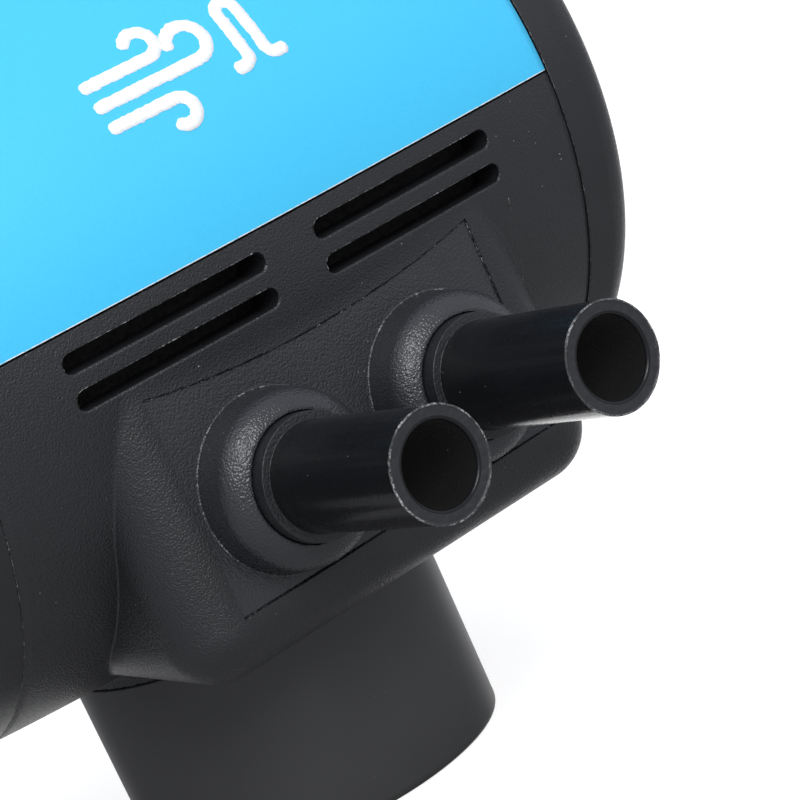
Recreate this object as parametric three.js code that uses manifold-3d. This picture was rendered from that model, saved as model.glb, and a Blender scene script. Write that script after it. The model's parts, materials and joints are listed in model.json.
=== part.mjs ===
// Pneumatic milking pulsator: a horizontal barrel housing with two hose nozzles on its front, a rubber
// vacuum cuff underneath, and inside it a twin-diaphragm shuttle that flips two slide valves over centre.
// Millimetres. X runs along the barrel, -Y is the nozzle side, +Z is up. The origin is the centre of the
// flat seat at the top of the vacuum socket. Everything is modelled from the barrel's axis and then
// lifted by AXIS_HEIGHT.
import * as THREE from "three";
import { mergeVertices } from "three/addons/utils/BufferGeometryUtils.js";
import Module from "manifold-3d";

const wasm = await Module();
wasm.setup();

// ---------------------------------------------------------------- driving dimensions
const AXIS_HEIGHT = 33; // barrel axis above the vacuum seat

const HALF_LENGTH = 31.1; // barrel centre to the seam with an end cap
const END_R = 31.5; // barrel radius at the seam
const BULGE = 1.4; // extra radius at mid-length
const BORE_R = 28.6; // inside of the barrel
const FLANGE_T = 2.5; // end flange that each diaphragm is clamped to
const FLANGE_HOLE_R = 22;
const SHELL_GAP = 0.06; // each half shell stops this far from the split plane
const ROUND = 48; // facets round the barrel and the end caps

const CAP_GAP = 0.15;
const CAP_R = 31.7;
const CAP_FACE_X = 37.9; // outer face of an end cap
const CAP_DOME = 0.7;
const CAP_EDGE_R = 4.2;
const CHAMBER_R = 20.8; // pilot chamber inside a cap
const CHAMBER_X = 36;

const SCREW_CIRCLE_R = 26;
const SCREW_ANGLES = [45, 135, 225, 315];
const SCREW_SEAT_X = 35.6; // bottom of a cap screw's counterbore

const RIM_R = 29.4; // clamped rim of a diaphragm
const RIM_T = 1.5;
const WEB_X = [25.1, 26.3]; // a diaphragm's middle, between its two clamping plates
const PLATE_DISC_T = 1.4;

const BOX_HALF_X = 22.4; // nozzle block on the front of the barrel
const BOX_FRONT_Y = -31.8;
const BOX_BOTTOM_Z = -32; // at the front
const BOX_BOTTOM_RISE = 1.4; // the underside rises towards the back
const BOX_EDGE_R = 5.2;
const BOX_CORNER_R = 3.6;

const NOZZLE_X = 9; // half the nozzle spacing
const NOZZLE_Z = -18.6;
const NOZZLE_TIP_Y = -54.3;
const NOZZLE_R = 4.5;
const NOZZLE_BORE_R = 3.3;
const NOZZLE_TAIL_Y = -26.8;
const SHOULDER_R = 5.18;
const SHOULDER_Y = -37.4; // front of the nozzle's shoulder ring
const COLLAR_Y = -36.1; // top of the plate's domed collar
const COLLAR_R = 7.5;
const DOME_Y = -33.9; // where the collar's straight wall turns into its dome
const DOME_INNER_R = 5.35;
const PLATE_Y = -31.5; // front face of the outlet plate
const PLATE_T = 2.6;
const PLATE_HALF_X = 17.15;
const PLATE_BOTTOM_Z = -26.65;
const FIT_GAP = 0.1; // clearance round fitted pieces
const DUCT_R = 3;

const SLOT_Z = [-2.35, -5.4]; // vent slots, centres of the two rows
const SLOT_X = [3.4, 21.7]; // centres of a slot's round ends
const SLOT_HALF = 0.85;

const SEAT_Z = -AXIS_HEIGHT; // vacuum seat, from the barrel axis
const PLINTH_Z = -33.4; // underside of the round plinth that the cuff butts against
const CUFF_R = 17.2;
const CUFF_RIM_R = 17.05;
const CUFF_RIM_Z = -51.8;
const SPIGOT_R = 13.3;
const SOCKET_R = 11.6;
const SPIGOT_END_Z = -44;

const DECK_TOP_Z = -14; // the deck carries the valves
const DECK_T = 1.5;
const DECK_HALF_X = 19.5;
const VALVE_Y = 9; // main valve at -VALVE_Y, pilot valve at +VALVE_Y
const PORT_PITCH = 6;
const PORT_HALF_X = 1.25;
const VALVE_FACE_Z = -12; // sliding face of the valve seats
const SEAT_HALF_X = 11.4;
const SEAT_T = 1.5;
const SEAT_SCREW_X = 10.1; // clear of a slide at either end of its travel
const GASKET_T = 0.5;
const SLIDE_HALF_X = 6;
const SLIDE_TOP_Z = -9;
const EAR_X = [1.15, 2.6]; // the slide's two ears stand either side of the rocker's finger

const ROD_R = 2.5;
const ROD_SHOULDER_X = 23.5;
const SPIGOT_TIP_X = 27.9;
const SPIGOT_TIP_R = 1.8;
const PLATE_DISC_R = 15;
const POST_X = [16.5, 19.5]; // guide posts for the rod bushes
const POST_HALF_Y = 7;
const POST_TOP_Z = 7;
const BUSH_R = 4.5;

const PIVOT_Z = 4; // rocker pivot above the barrel axis
const FINGER_Z = -8; // where the rocker drives the slides
const SPRING_Y = 6.2;
const SPRING_PIN_Z = 12;
const SPRING_PIN_R = 1;
const PIVOT_R = 1.22;
const CROSSBAR_Z = -5.1;
const ARM_Y = [13, 15];
const ARM_EYE_R = 2.8;
const BRACKET_Y = [15.4, 18];
const BRACKET_HALF_X = 3.5;

const FEED_Y = 9; // pilot vacuum feed
const FEED_R = 1.6;
const MAIN_FEED_Y = -8;
const MAIN_FEED_R = 2.6;
const RATE_Z = -24; // axis of the rate screw
const BOSS_END_Y = 26.6;
const BOSS_R = 5.6;
const INSERT_R = 4.35; // bore for the threaded insert
const RATE_SCREW_R = 3.1;
const PIN_R = 1.75;
const PIN_BORE_Y = [10, 16]; // bore that the metering pin slides in
const SPRING_BORE_R = 3.2;
const CHANNEL_Y = 14; // air channels to the pilot chambers
const CHANNEL_Z = -20;
const CHANNEL_R = 1.2;

const FILTER_HALF_X = 23.5;
const FILTER_FACE_Y = -25.1; // inner face of the filter pad
const SHELF_Z = [-10.6, -9.6]; // shelf that the filter retainer stands on
const RETAINER_Y = [-25, -24.1];

const BEYOND = 80; // farther out than any piece

// ---------------------------------------------------------------- solids
const deg = (a) => (a * Math.PI) / 180;

// A closed three.js geometry becomes a manifold solid, turned the right way out.
function solid(geometry) {
  const g = geometry.index ? geometry.toNonIndexed() : geometry.clone();
  g.deleteAttribute("normal");
  g.deleteAttribute("uv");
  const merged = mergeVertices(g, 1e-4);
  const kept = [];
  const index = merged.index.array;
  for (let i = 0; i < index.length; i += 3) {
    const [a, b, c] = [index[i], index[i + 1], index[i + 2]];
    if (a !== b && b !== c && c !== a) kept.push(a, b, c);
  }
  const position = merged.attributes.position.array;
  const make = (triangles) =>
    new wasm.Manifold(
      new wasm.Mesh({ numProp: 3, vertProperties: position, triVerts: new Uint32Array(triangles) }),
    );
  const made = make(kept);
  if (made.volume() > 0) return made;
  const turned = [];
  for (let i = 0; i < kept.length; i += 3) turned.push(kept[i], kept[i + 2], kept[i + 1]);
  return make(turned);
}

const join = (...solids) => solids.reduce((a, b) => a.add(b));
const cut = (a, ...solids) => solids.reduce((left, b) => left.subtract(b), a);

// A span on one side of the middle, given for the positive side.
const onSide = (side, [a, b]) => (side > 0 ? [a, b] : [-b, -a]);

function box([x0, x1], [y0, y1], [z0, z1]) {
  const g = new THREE.BoxGeometry(x1 - x0, y1 - y0, z1 - z0);
  return solid(g.translate((x0 + x1) / 2, (y0 + y1) / 2, (z0 + z1) / 2));
}

// Turns a geometry built about the Y axis so that its +Y points along the named axis.
function aim(geometry, axis) {
  if (axis === "x") geometry.rotateZ(-Math.PI / 2);
  if (axis === "z") geometry.rotateX(Math.PI / 2);
  return geometry;
}

// A cylinder along an axis from a to b, centred on the two other coordinates in axis order.
function rod(axis, r, a, b, [u, v] = [0, 0], segments = 16) {
  const g = aim(new THREE.CylinderGeometry(r, r, b - a, segments), axis);
  const middle = (a + b) / 2;
  if (axis === "x") g.translate(middle, u, v);
  if (axis === "y") g.translate(u, middle, v);
  if (axis === "z") g.translate(u, v, middle);
  return solid(g);
}

// A turned piece: profile is [distance along the axis, radius] pairs round a closed outline.
function turned(axis, profile, [u, v] = [0, 0], segments = 32) {
  const points = profile.map(([along, r]) => new THREE.Vector2(r, along));
  points.push(points[0].clone());
  const g = aim(new THREE.LatheGeometry(points, segments), axis);
  if (axis === "x") g.translate(0, u, v);
  if (axis === "y") g.translate(u, 0, v);
  if (axis === "z") g.translate(u, v, 0);
  return solid(g);
}

// A flat outline of [u, v] points, extruded along an axis from a to b.
// Outline coordinates are the other two axes in order: (y, z), (x, z) or (x, y).
function extruded(axis, a, b, outline) {
  const shape = new THREE.Shape(outline.map(([u, v]) => new THREE.Vector2(u, v)));
  const g = new THREE.ExtrudeGeometry(shape, { depth: b - a, bevelEnabled: false });
  if (axis === "z") g.translate(0, 0, a);
  if (axis === "y") g.rotateX(Math.PI / 2).translate(0, b, 0);
  if (axis === "x") g.applyMatrix4(new THREE.Matrix4().set(0, 0, 1, a, 1, 0, 0, 0, 0, 1, 0, 0, 0, 0, 0, 1));
  return solid(g);
}

// Arc points from angle a0 to a1 (degrees) about (cx, cy).
function arc(cx, cy, r, a0, a1, steps) {
  return Array.from({ length: steps + 1 }, (_, i) => {
    const a = deg(a0 + ((a1 - a0) * i) / steps);
    return [cx + r * Math.cos(a), cy + r * Math.sin(a)];
  });
}

// A round wire along a path.
function wire(points, r, steps) {
  const shape = new THREE.Shape().absarc(0, 0, r, 0, 2 * Math.PI);
  const extrudePath = new THREE.CatmullRomCurve3(points, false, "centripetal");
  return solid(new THREE.ExtrudeGeometry(shape, { extrudePath, steps, curveSegments: 3 }));
}

// A sealing ring of radius R, made of a cord of radius r.
const ring = (axis, R, r, at, centre) => turned(axis, arc(at, R, r, 0, 288, 4), centre, 14);

// ---------------------------------------------------------------- barrel
const barrelRadius = (x) => END_R + BULGE * (1 - (x / HALF_LENGTH) ** 2);

// The barrel's outer form, changed by offset in radius.
function barrel(offset = 0, half = HALF_LENGTH) {
  const steps = 6;
  const profile = [[-half, 0]];
  for (let i = 0; i <= steps; i++) {
    const x = -half + (2 * half * i) / steps;
    profile.push([x, barrelRadius(x) + offset]);
  }
  profile.push([half, 0]);
  return turned("x", profile, [0, 0], ROUND);
}

const bore = () => rod("x", BORE_R, -(HALF_LENGTH - FLANGE_T), HALF_LENGTH - FLANGE_T, [0, 0], ROUND);
const above = (z) => box([-BEYOND, BEYOND], [-BEYOND, BEYOND], [z, BEYOND]);
const below = (z) => box([-BEYOND, BEYOND], [-BEYOND, BEYOND], [-BEYOND, z]);
const screwCentre = (angle, r = SCREW_CIRCLE_R) => [r * Math.cos(deg(angle)), r * Math.sin(deg(angle))];

// For one half shell: the bosses for its cap screws, and the holes in its bosses and end flanges.
function endWorks(angles) {
  const flangeX = HALF_LENGTH - FLANGE_T;
  const bossR = 3;
  const holeR = 1.3;
  const bosses = [];
  const holes = [];
  for (const side of [-1, 1]) {
    for (const angle of angles) {
      bosses.push(rod("x", bossR, ...onSide(side, [21, flangeX + 0.5]), screwCentre(angle), 10));
      holes.push(rod("x", holeR, ...onSide(side, [22, BEYOND]), screwCentre(angle), 8));
    }
    holes.push(rod("x", FLANGE_HOLE_R, ...onSide(side, [flangeX - 0.5, BEYOND]), [0, 0], 32));
  }
  return { bosses, holes };
}

// Outline of the plate's pocket in x and z: straight sides and bottom, and a top edge that follows the
// line where the plate's front plane leaves the barrel.
function plateOutline(gap) {
  const half = PLATE_HALF_X + gap;
  const bottom = PLATE_BOTTOM_Z - gap;
  const steps = 6;
  const points = [[-half, bottom], [half, bottom]];
  for (let i = 0; i <= steps; i++) {
    const x = half - (2 * half * i) / steps;
    points.push([x, -Math.sqrt(barrelRadius(x) ** 2 - PLATE_Y ** 2) + gap]);
  }
  return points;
}

// The nozzle block: a box with rounded front, bottom and side edges, made from its three outlines.
function nozzleBlock() {
  const [X, F, B, r, c] = [BOX_HALF_X, BOX_FRONT_Y, BOX_BOTTOM_Z, BOX_EDGE_R, BOX_CORNER_R];
  const [backY, topZ] = [-6, -4];
  const fromTop = extruded("z", -BEYOND, topZ, [
    [X, 0], [-X, 0], ...arc(-X + r, F + r, r, 180, 270, 4), ...arc(X - r, F + r, r, 270, 360, 4),
  ]);
  const fromSide = extruded("x", -BEYOND, BEYOND, [
    [backY, topZ], [F, topZ], ...arc(F + r, B + r, r, 180, 270, 4), [backY, B + BOX_BOTTOM_RISE],
  ]);
  const fromFront = extruded("y", -BEYOND, 0, [
    [X, topZ], [-X, topZ], ...arc(-X + c, B + c, c, 180, 270, 3), ...arc(X - c, B + c, c, 270, 360, 3),
  ]);
  return fromTop.intersect(fromSide).intersect(fromFront);
}

// Two rows of two slots with round ends.
function ventSlots() {
  return SLOT_Z.flatMap((z) =>
    [-1, 1].map((side) => {
      const [start, end] = onSide(side, SLOT_X);
      return extruded("y", -36, -26, [
        ...arc(start, z, SLOT_HALF, 90, 270, 4), ...arc(end, z, SLOT_HALF, -90, 90, 4),
      ]);
    }),
  );
}

// Deck, valve blocks, air channels, shelf, posts and brackets inside the lower housing.
function innerWorks() {
  const under = DECK_TOP_Z - 1;
  return join(
    box([-DECK_HALF_X, DECK_HALF_X], [-28.8, 28.8], [DECK_TOP_Z - DECK_T, DECK_TOP_Z]),
    box([-13.5, 13.5], [-29, -4.5], [-30.5, under]), // under the main valve, and round both ducts
    box([-9.2, 9.2], [6, 17], [-22.6, under]), // under the pilot valve
    box([-4.2, 4.2], [5.6, 15], [-31, -20]), // round the metering pin and the pilot feed
    rod("x", CHANNEL_R * 2, -(HALF_LENGTH - 1), HALF_LENGTH - 1, [CHANNEL_Y, CHANNEL_Z], 12),
    box([-24, 24], [-27.6, -24], SHELF_Z),
    ...[-1, 1].flatMap((side) => [
      box(onSide(side, POST_X), [-POST_HALF_Y, POST_HALF_Y], [under, POST_TOP_Z]),
      box([-BRACKET_HALF_X, BRACKET_HALF_X], onSide(side, BRACKET_Y), [under, PIVOT_Z + BRACKET_HALF_X]),
    ]),
  );
}

// Everything drilled or cut through the lower housing once its inside is in place.
function housingHoles() {
  const nozzleAt = (side) => [side * NOZZLE_X, NOZZLE_Z];
  const sealR = 6.15;
  return [
    rod("z", SOCKET_R, SPIGOT_END_Z - 1, SEAT_Z, [0, 0], 32),
    rod("z", MAIN_FEED_R, SEAT_Z - 1, DECK_TOP_Z + 1, [0, MAIN_FEED_Y], 12),
    rod("z", FEED_R, SEAT_Z - 1, DECK_TOP_Z + 1, [0, FEED_Y], 8),
    rod("x", BUSH_R, -22, 22, [0, 0], 24),
    rod("y", PIVOT_R + 0.08, -19, 19, [0, PIVOT_Z], 12),
    extruded("y", PLATE_Y - 1, PLATE_Y + PLATE_T + FIT_GAP, plateOutline(FIT_GAP + 0.04)),
    rod("y", INSERT_R, 21.9, BOSS_END_Y + 1, [0, RATE_Z], 24),
    rod("y", SPRING_BORE_R, 15.5, 22.5, [0, RATE_Z], 16),
    rod("y", PIN_R + FIT_GAP, ...PIN_BORE_Y, [0, RATE_Z], 12),
    ...[-1, 1].flatMap((side) => [
      rod("y", NOZZLE_R + 0.2, -30, -26.4, nozzleAt(side), 20),
      rod("y", sealR, -30, -27.3, nozzleAt(side), 20),
      rod("y", DUCT_R, -27, -7, nozzleAt(side), 16),
      rod("z", 2, NOZZLE_Z, DECK_TOP_Z + 1, [side * PORT_PITCH, -VALVE_Y], 12),
      rod("z", CHANNEL_R, CHANNEL_Z, DECK_TOP_Z + 1, [side * PORT_PITCH, VALVE_Y], 8),
      rod("y", CHANNEL_R, VALVE_Y - 1, CHANNEL_Y, [side * PORT_PITCH, CHANNEL_Z], 8),
      rod("x", CHANNEL_R, ...onSide(side, [PORT_PITCH - 1, 40]), [CHANNEL_Y, CHANNEL_Z], 8),
    ]),
    ...ventSlots(),
  ];
}

function lowerHousing() {
  const { bosses, holes } = endWorks([225, 315]);
  const shell = join(barrel().intersect(below(-SHELL_GAP)), nozzleBlock());
  const plinth = rod("z", CUFF_R, PLINTH_Z, -27, [0, 0], 36);
  const spigot = rod("z", SPIGOT_R, SPIGOT_END_Z, -30, [0, 0], 32);
  const rateBoss = rod("y", BOSS_R, CHANNEL_Y, BOSS_END_Y, [0, RATE_Z], 24);
  const pockets = [-1, 1].map((side) => box(onSide(side, [14.5, 20]), [-26.5, 0], [-29.5, -17]));
  const room = join(rod("x", BORE_R + 0.4, -30, 30, [0, 0], ROUND), nozzleBlock());
  const inside = join(innerWorks(), ...bosses).intersect(room);
  const hollowed = cut(join(shell, plinth, spigot, rateBoss), bore(), ...pockets);
  return cut(join(hollowed, inside), ...holes, ...housingHoles());
}

function topCover() {
  const { bosses, holes } = endWorks([45, 135]);
  const shell = cut(barrel(-0.45).intersect(above(SHELL_GAP)), bore());
  const fitted = join(...bosses).intersect(rod("x", BORE_R + 0.4, -30, 30, [0, 0], ROUND));
  return cut(join(shell, fitted), ...holes);
}

function label() {
  const film = cut(barrel(0.05, HALF_LENGTH - 0.2), barrel(-0.35, HALF_LENGTH));
  return film.intersect(above(SHELL_GAP));
}

// ---------------------------------------------------------------- end caps and diaphragms
// Right-hand pieces are built on +X; left-hand ones are their mirror images.
const mirrored = (s) => s.mirror([1, 0, 0]);

function endCap() {
  const x0 = HALF_LENGTH + CAP_GAP;
  const edge = arc(CAP_FACE_X - CAP_EDGE_R, CAP_R - CAP_EDGE_R, CAP_EDGE_R, 90, 0, 3);
  const dome = [0.5, 0].map((share) => {
    const r = (CAP_R - CAP_EDGE_R) * share;
    return [CAP_FACE_X + CAP_DOME * (1 - share ** 2), r];
  });
  const outer = turned("x", [
    [x0, 0], [x0, END_R], [CAP_FACE_X - CAP_EDGE_R, CAP_R],
    ...edge.slice(1), ...dome,
  ], [0, 0], ROUND);
  const cuts = [
    rod("x", RIM_R + 0.4, x0 - 1, x0 + RIM_T + 0.08, [0, 0], 28),
    rod("x", CHAMBER_R, x0, CHAMBER_X, [0, 0], 24),
    box([x0, x0 + 3.2], [9, CHANNEL_Y + CHANNEL_R], [CHANNEL_Z - CHANNEL_R, -12]),
  ];
  for (const angle of SCREW_ANGLES) {
    cuts.push(rod("x", 1.6, x0, BEYOND, screwCentre(angle), 8));
    cuts.push(rod("x", 2.8, SCREW_SEAT_X, BEYOND, screwCentre(angle), 12));
  }
  return cut(outer, ...cuts);
}

function capScrew(angle) {
  const centre = screwCentre(angle);
  const head = SCREW_SEAT_X + 0.04;
  const top = head + 1.86;
  const body = turned("x", [
    [23, 0], [24, 1.15], [head, 1.15], [head, 2.5], [top - 0.5, 2.5], [top, 1.9], [top, 0],
  ], centre, 10);
  const [y, z] = centre;
  return cut(body, box([top - 0.7, BEYOND], [y - 3, y + 3], [z - 0.35, z + 0.35]));
}

function diaphragm() {
  const x0 = HALF_LENGTH + 0.08;
  const x1 = x0 + RIM_T;
  const [web0, web1] = WEB_X;
  const disc = turned("x", [
    [x1, RIM_R], [x0, RIM_R], [x0, 21.6], [web0 + 0.9, 19.6], [web0, 18.6], [web0, SPIGOT_TIP_R + 0.15],
    [web1, SPIGOT_TIP_R + 0.15], [web1, 17.9], [web1 + 0.7, 18.7], [x1, 20.4],
  ], [0, 0], 24);
  const holes = SCREW_ANGLES.map((angle) => rod("x", 1.7, 30, 35, screwCentre(angle), 8));
  return cut(disc, rod("x", 1.4, 30, 35, [CHANNEL_Y, CHANNEL_Z], 8), ...holes);
}

const clampPlate = (x) =>
  turned("x", [
    [x, SPIGOT_TIP_R + 0.1], [x, PLATE_DISC_R], [x + PLATE_DISC_T, PLATE_DISC_R],
    [x + PLATE_DISC_T, SPIGOT_TIP_R + 0.1],
  ], [0, 0], 20);

function rodScrew() {
  const x = SPIGOT_TIP_X + 0.05;
  const body = turned("x", [
    [x - 6, 0], [x - 5.5, 1], [x, 1], [x, 4], [x + 1.2, 4], [x + 1.8, 3.2], [x + 1.8, 0],
  ], [0, 0], 16);
  return cut(body, box([x + 0.9, x + 3], [-5, 5], [-0.4, 0.4]));
}

// ---------------------------------------------------------------- shuttle
function shuttleRod() {
  const half = turned("x", [
    [0, 0], [0, ROD_R], [ROD_SHOULDER_X, ROD_R], [ROD_SHOULDER_X, SPIGOT_TIP_R],
    [SPIGOT_TIP_X, SPIGOT_TIP_R], [SPIGOT_TIP_X, 0],
  ], [0, 0], 20);
  const drilled = cut(half, rod("x", 1.15, SPIGOT_TIP_X - 7, SPIGOT_TIP_X + 1, [0, 0], 8));
  return join(drilled, mirrored(drilled));
}

function yoke() {
  const hub = box([-4, 4], [-4.5, 4.5], [-3.3, 4.2]);
  const mast = box([-2, 2], [-3, 3], [3.8, SPRING_PIN_Z + 2]);
  return cut(
    join(hub, mast),
    rod("x", ROD_R + 0.03, -5, 5, [0, 0], 20),
    rod("y", SPRING_PIN_R + 0.07, -6, 6, [0, SPRING_PIN_Z], 12),
    rod("y", 1.05, 2, 5, [0, 0], 8),
  );
}

function bush(side) {
  const [start, end] = onSide(side, [POST_X[0] - 0.3, POST_X[1] + 0.7]);
  const [inner, outer] = [ROD_R + 0.06, BUSH_R - 0.08];
  return turned("x", [[start, inner], [start, outer], [end, outer], [end, inner]], [0, 0], 16);
}

// ---------------------------------------------------------------- rocker and its springs
// Modelled about the pivot, so that the part turns where it is placed.
function rocker() {
  const bar = CROSSBAR_Z - PIVOT_Z;
  const finger = FINGER_Z - PIVOT_Z;
  const barHalf = 0.8;
  const sides = [-1, 1].flatMap((side) => {
    const fingerY = onSide(side, [7.5, 10.5]);
    return [
      box([-1.6, 1.6], onSide(side, [7, ARM_Y[1]]), [bar - barHalf, bar + barHalf]),
      rod("y", barHalf, ...onSide(side, [4.8, 7.6]), [0, bar], 12), // round neck for the spring's hook
      box([-2, 2], onSide(side, ARM_Y), [bar - barHalf, 0]),
      rod("y", ARM_EYE_R, ...onSide(side, ARM_Y), [0, 0], 16),
      box([-0.7, 0.7], fingerY, [finger, bar]),
      rod("y", 1, ...fingerY, [0, finger], 12),
    ];
  });
  const middle = box([-1.6, 1.6], [-5.2, 5.2], [bar - barHalf, bar + barHalf]);
  return cut(join(middle, ...sides), rod("y", PIVOT_R + 0.08, -20, 20, [0, 0], 12));
}

// An extension spring with a hook at each end, along Z from the crossbar to the spring pin.
function toggleSpring(y) {
  const wireR = 0.22;
  const [lowR, highR, coilR] = [1.08, 1.28, 1.15];
  const loop = (zc, r, a0, a1, n) =>
    arc(0, zc, r, a0, a1, n).map(([x, z]) => new THREE.Vector3(x, y, z));
  const turns = 4;
  const count = turns * 8;
  const [z0, z1] = [-2, 8.6];
  const coil = Array.from({ length: count + 1 }, (_, i) => {
    const a = (i / 8) * 2 * Math.PI;
    return new THREE.Vector3(coilR * Math.cos(a), y + coilR * Math.sin(a), z0 + ((z1 - z0) * i) / count);
  });
  const lowHook = loop(CROSSBAR_Z, lowR, -200, 60, 9);
  const highHook = loop(SPRING_PIN_Z, highR, -60, 200, 9);
  return wire([...lowHook, ...coil, ...highHook], wireR, 46);
}

// A compression spring along Y round the metering pin.
function rateSpring() {
  const count = 4 * 10; // four turns of ten points
  const [r, start, length] = [2.5, 15.95, 2.7];
  const points = Array.from({ length: count + 1 }, (_, i) => {
    const a = (i / 10) * 2 * Math.PI;
    return new THREE.Vector3(r * Math.cos(a), start + (length * i) / count, RATE_Z + r * Math.sin(a));
  });
  return wire(points, 0.28, 24);
}

// ---------------------------------------------------------------- valves
// A flat sheet with three ports in a row and a screw hole at each end.
function ported(y, halfY, [bottom, top], port, screwR) {
  const through = [bottom - 1, top + 1];
  const sheet = box([-SEAT_HALF_X, SEAT_HALF_X], [y - halfY, y + halfY], [bottom, top]);
  const ports = [-1, 0, 1].map((i) => {
    const x = i * PORT_PITCH;
    return box([x - port.halfX, x + port.halfX], [y - port.halfY, y + port.halfY], through);
  });
  const holes = [-1, 1].map((side) => rod("z", screwR, ...through, [side * SEAT_SCREW_X, y], 8));
  return cut(sheet, ...ports, ...holes);
}

const valveSeat = (y, halfY, portHalfY) =>
  ported(y, halfY, [VALVE_FACE_Z - SEAT_T, VALVE_FACE_Z], { halfX: PORT_HALF_X, halfY: portHalfY }, 1);

function seatGasket(y, halfY, portHalfY) {
  const top = VALVE_FACE_Z - SEAT_T - 0.02;
  const port = { halfX: PORT_HALF_X + 0.45, halfY: portHalfY + 0.4 };
  return ported(y, halfY, [top - GASKET_T + 0.06, top], port, 1.1);
}

function seatScrew(x, y) {
  const z = VALVE_FACE_Z + 0.03;
  const [shankR, headR, headT] = [0.85, 1.35, 0.9];
  const body = turned("z", [
    [z - 1.9, 0], [z - 1.9, shankR], [z, shankR], [z, headR], [z + headT, headR], [z + headT, 0],
  ], [x, y], 8);
  return cut(body, box([x - 1.15, x + 1.15], [y - 0.2, y + 0.2], [z + headT - 0.4, z + 2]));
}

// A D-slide: a cup over the ports, with two ears on its back for the rocker's finger.
function slide(y, halfY, cupHalfY) {
  const z = VALVE_FACE_Z + 0.05;
  const roof = SLIDE_TOP_Z - 1;
  const block = box([-SLIDE_HALF_X, SLIDE_HALF_X], [y - halfY, y + halfY], [z, SLIDE_TOP_Z]);
  const ears = [-1, 1].map((side) => box(onSide(side, EAR_X), [y - 2, y + 2], [SLIDE_TOP_Z - 0.5, -6.5]));
  const cup = box([-4.5, 4.5], [y - cupHalfY, y + cupHalfY], [z - 1, roof]);
  const slot = box([-EAR_X[0], EAR_X[0]], [y - 3, y + 3], [SLIDE_TOP_Z - 0.15, -5]);
  return cut(join(block, ...ears), cup, slot);
}

// ---------------------------------------------------------------- outlet plate, nozzles, cuff
function outletPlate() {
  const plate = extruded("y", PLATE_Y, PLATE_Y + PLATE_T, plateOutline(0));
  const collars = [-1, 1].map((side) =>
    turned("y", [
      [PLATE_Y + 1, 0], [PLATE_Y + 1, COLLAR_R], [PLATE_Y, COLLAR_R],
      ...arc(0, 0, 1, 90, 180, 3).map(([along, out]) => [
        DOME_Y + (DOME_Y - COLLAR_Y) * along, DOME_INNER_R + (COLLAR_R - 0.18 - DOME_INNER_R) * out,
      ]),
      [COLLAR_Y, 0],
    ], [side * NOZZLE_X, NOZZLE_Z], 24),
  );
  const bores = [-1, 1].map((side) => rod("y", NOZZLE_R + 0.09, -40, -20, [side * NOZZLE_X, NOZZLE_Z], 20));
  return cut(join(plate, ...collars), ...bores);
}

const nozzle = (side) =>
  turned("y", [
    [NOZZLE_TIP_Y, NOZZLE_BORE_R + 0.15], [NOZZLE_TIP_Y, NOZZLE_R - 0.15], [NOZZLE_TIP_Y + 0.2, NOZZLE_R],
    [SHOULDER_Y, NOZZLE_R], [SHOULDER_Y, SHOULDER_R], [COLLAR_Y - 0.05, SHOULDER_R],
    [COLLAR_Y - 0.05, NOZZLE_R], [NOZZLE_TAIL_Y, NOZZLE_R], [NOZZLE_TAIL_Y, NOZZLE_BORE_R],
    [NOZZLE_TIP_Y + 0.2, NOZZLE_BORE_R],
  ], [side * NOZZLE_X, NOZZLE_Z], 20);

function cuff() {
  const top = PLINTH_Z - 0.08;
  return turned("z", [
    [top, SPIGOT_R + 0.06], [top, CUFF_R],
    ...arc(CUFF_RIM_Z + 0.9, CUFF_RIM_R - 0.9, 0.9, 90, 180, 3),
    [CUFF_RIM_Z, 13.3], [CUFF_RIM_Z + 0.8, 12.4], [SPIGOT_END_Z - 0.1, 12.4],
    [SPIGOT_END_Z - 0.1, SPIGOT_R + 0.06],
  ], [0, 0], 36);
}

// ---------------------------------------------------------------- air filter
function filterPad() {
  const outer = arc(0, 0, BORE_R - 0.25, 182, 199, 3);
  const [first, last] = [outer[0], outer.at(-1)];
  return extruded("x", -FILTER_HALF_X, FILTER_HALF_X, [
    ...outer, [FILTER_FACE_Y, last[1]], [FILTER_FACE_Y, first[1]],
  ]);
}

function filterRetainer() {
  const [low, high] = [SHELF_Z[1] + 0.1, -0.6];
  const plate = box([-FILTER_HALF_X, FILTER_HALF_X], RETAINER_Y, [low, high]);
  const windows = [-18, -6, 6, 18].map((x) => box([x - 4.8, x + 4.8], [-30, -20], [low + 1.3, high - 1.4]));
  return cut(plate, ...windows);
}

// ---------------------------------------------------------------- rate control
const meteringPin = () =>
  turned("y", [
    [11.4, 0], [11.5, 0.35], [13.5, 1.2], [13.5, PIN_R], [19, PIN_R], [19, 2.95], [20.4, 2.95], [20.4, 0],
  ], [0, RATE_Z], 14);

function rateScrew() {
  const [start, end] = [20.5, 27.9];
  const [R, chamfer, grooveR] = [RATE_SCREW_R, 0.5, 2.4];
  const body = turned("y", [
    [start, 0], [start, R - chamfer], [start + chamfer, R], [23.2, R], [23.2, grooveR],
    [24.4, grooveR], [24.4, R], [end - chamfer, R], [end, R - chamfer], [end, 0],
  ], [0, RATE_Z], 16);
  return cut(body, box([-5, 5], [end - 1.1, BEYOND], [RATE_Z - 0.5, RATE_Z + 0.5]));
}

function rateInsert() {
  const [start, end] = [22, BOSS_END_Y - 0.1];
  const [inner, outer] = [RATE_SCREW_R + 0.1, INSERT_R - 0.09];
  return turned("y", [[start, inner], [start, outer], [end, outer], [end, inner]], [0, RATE_Z], 16);
}

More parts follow.
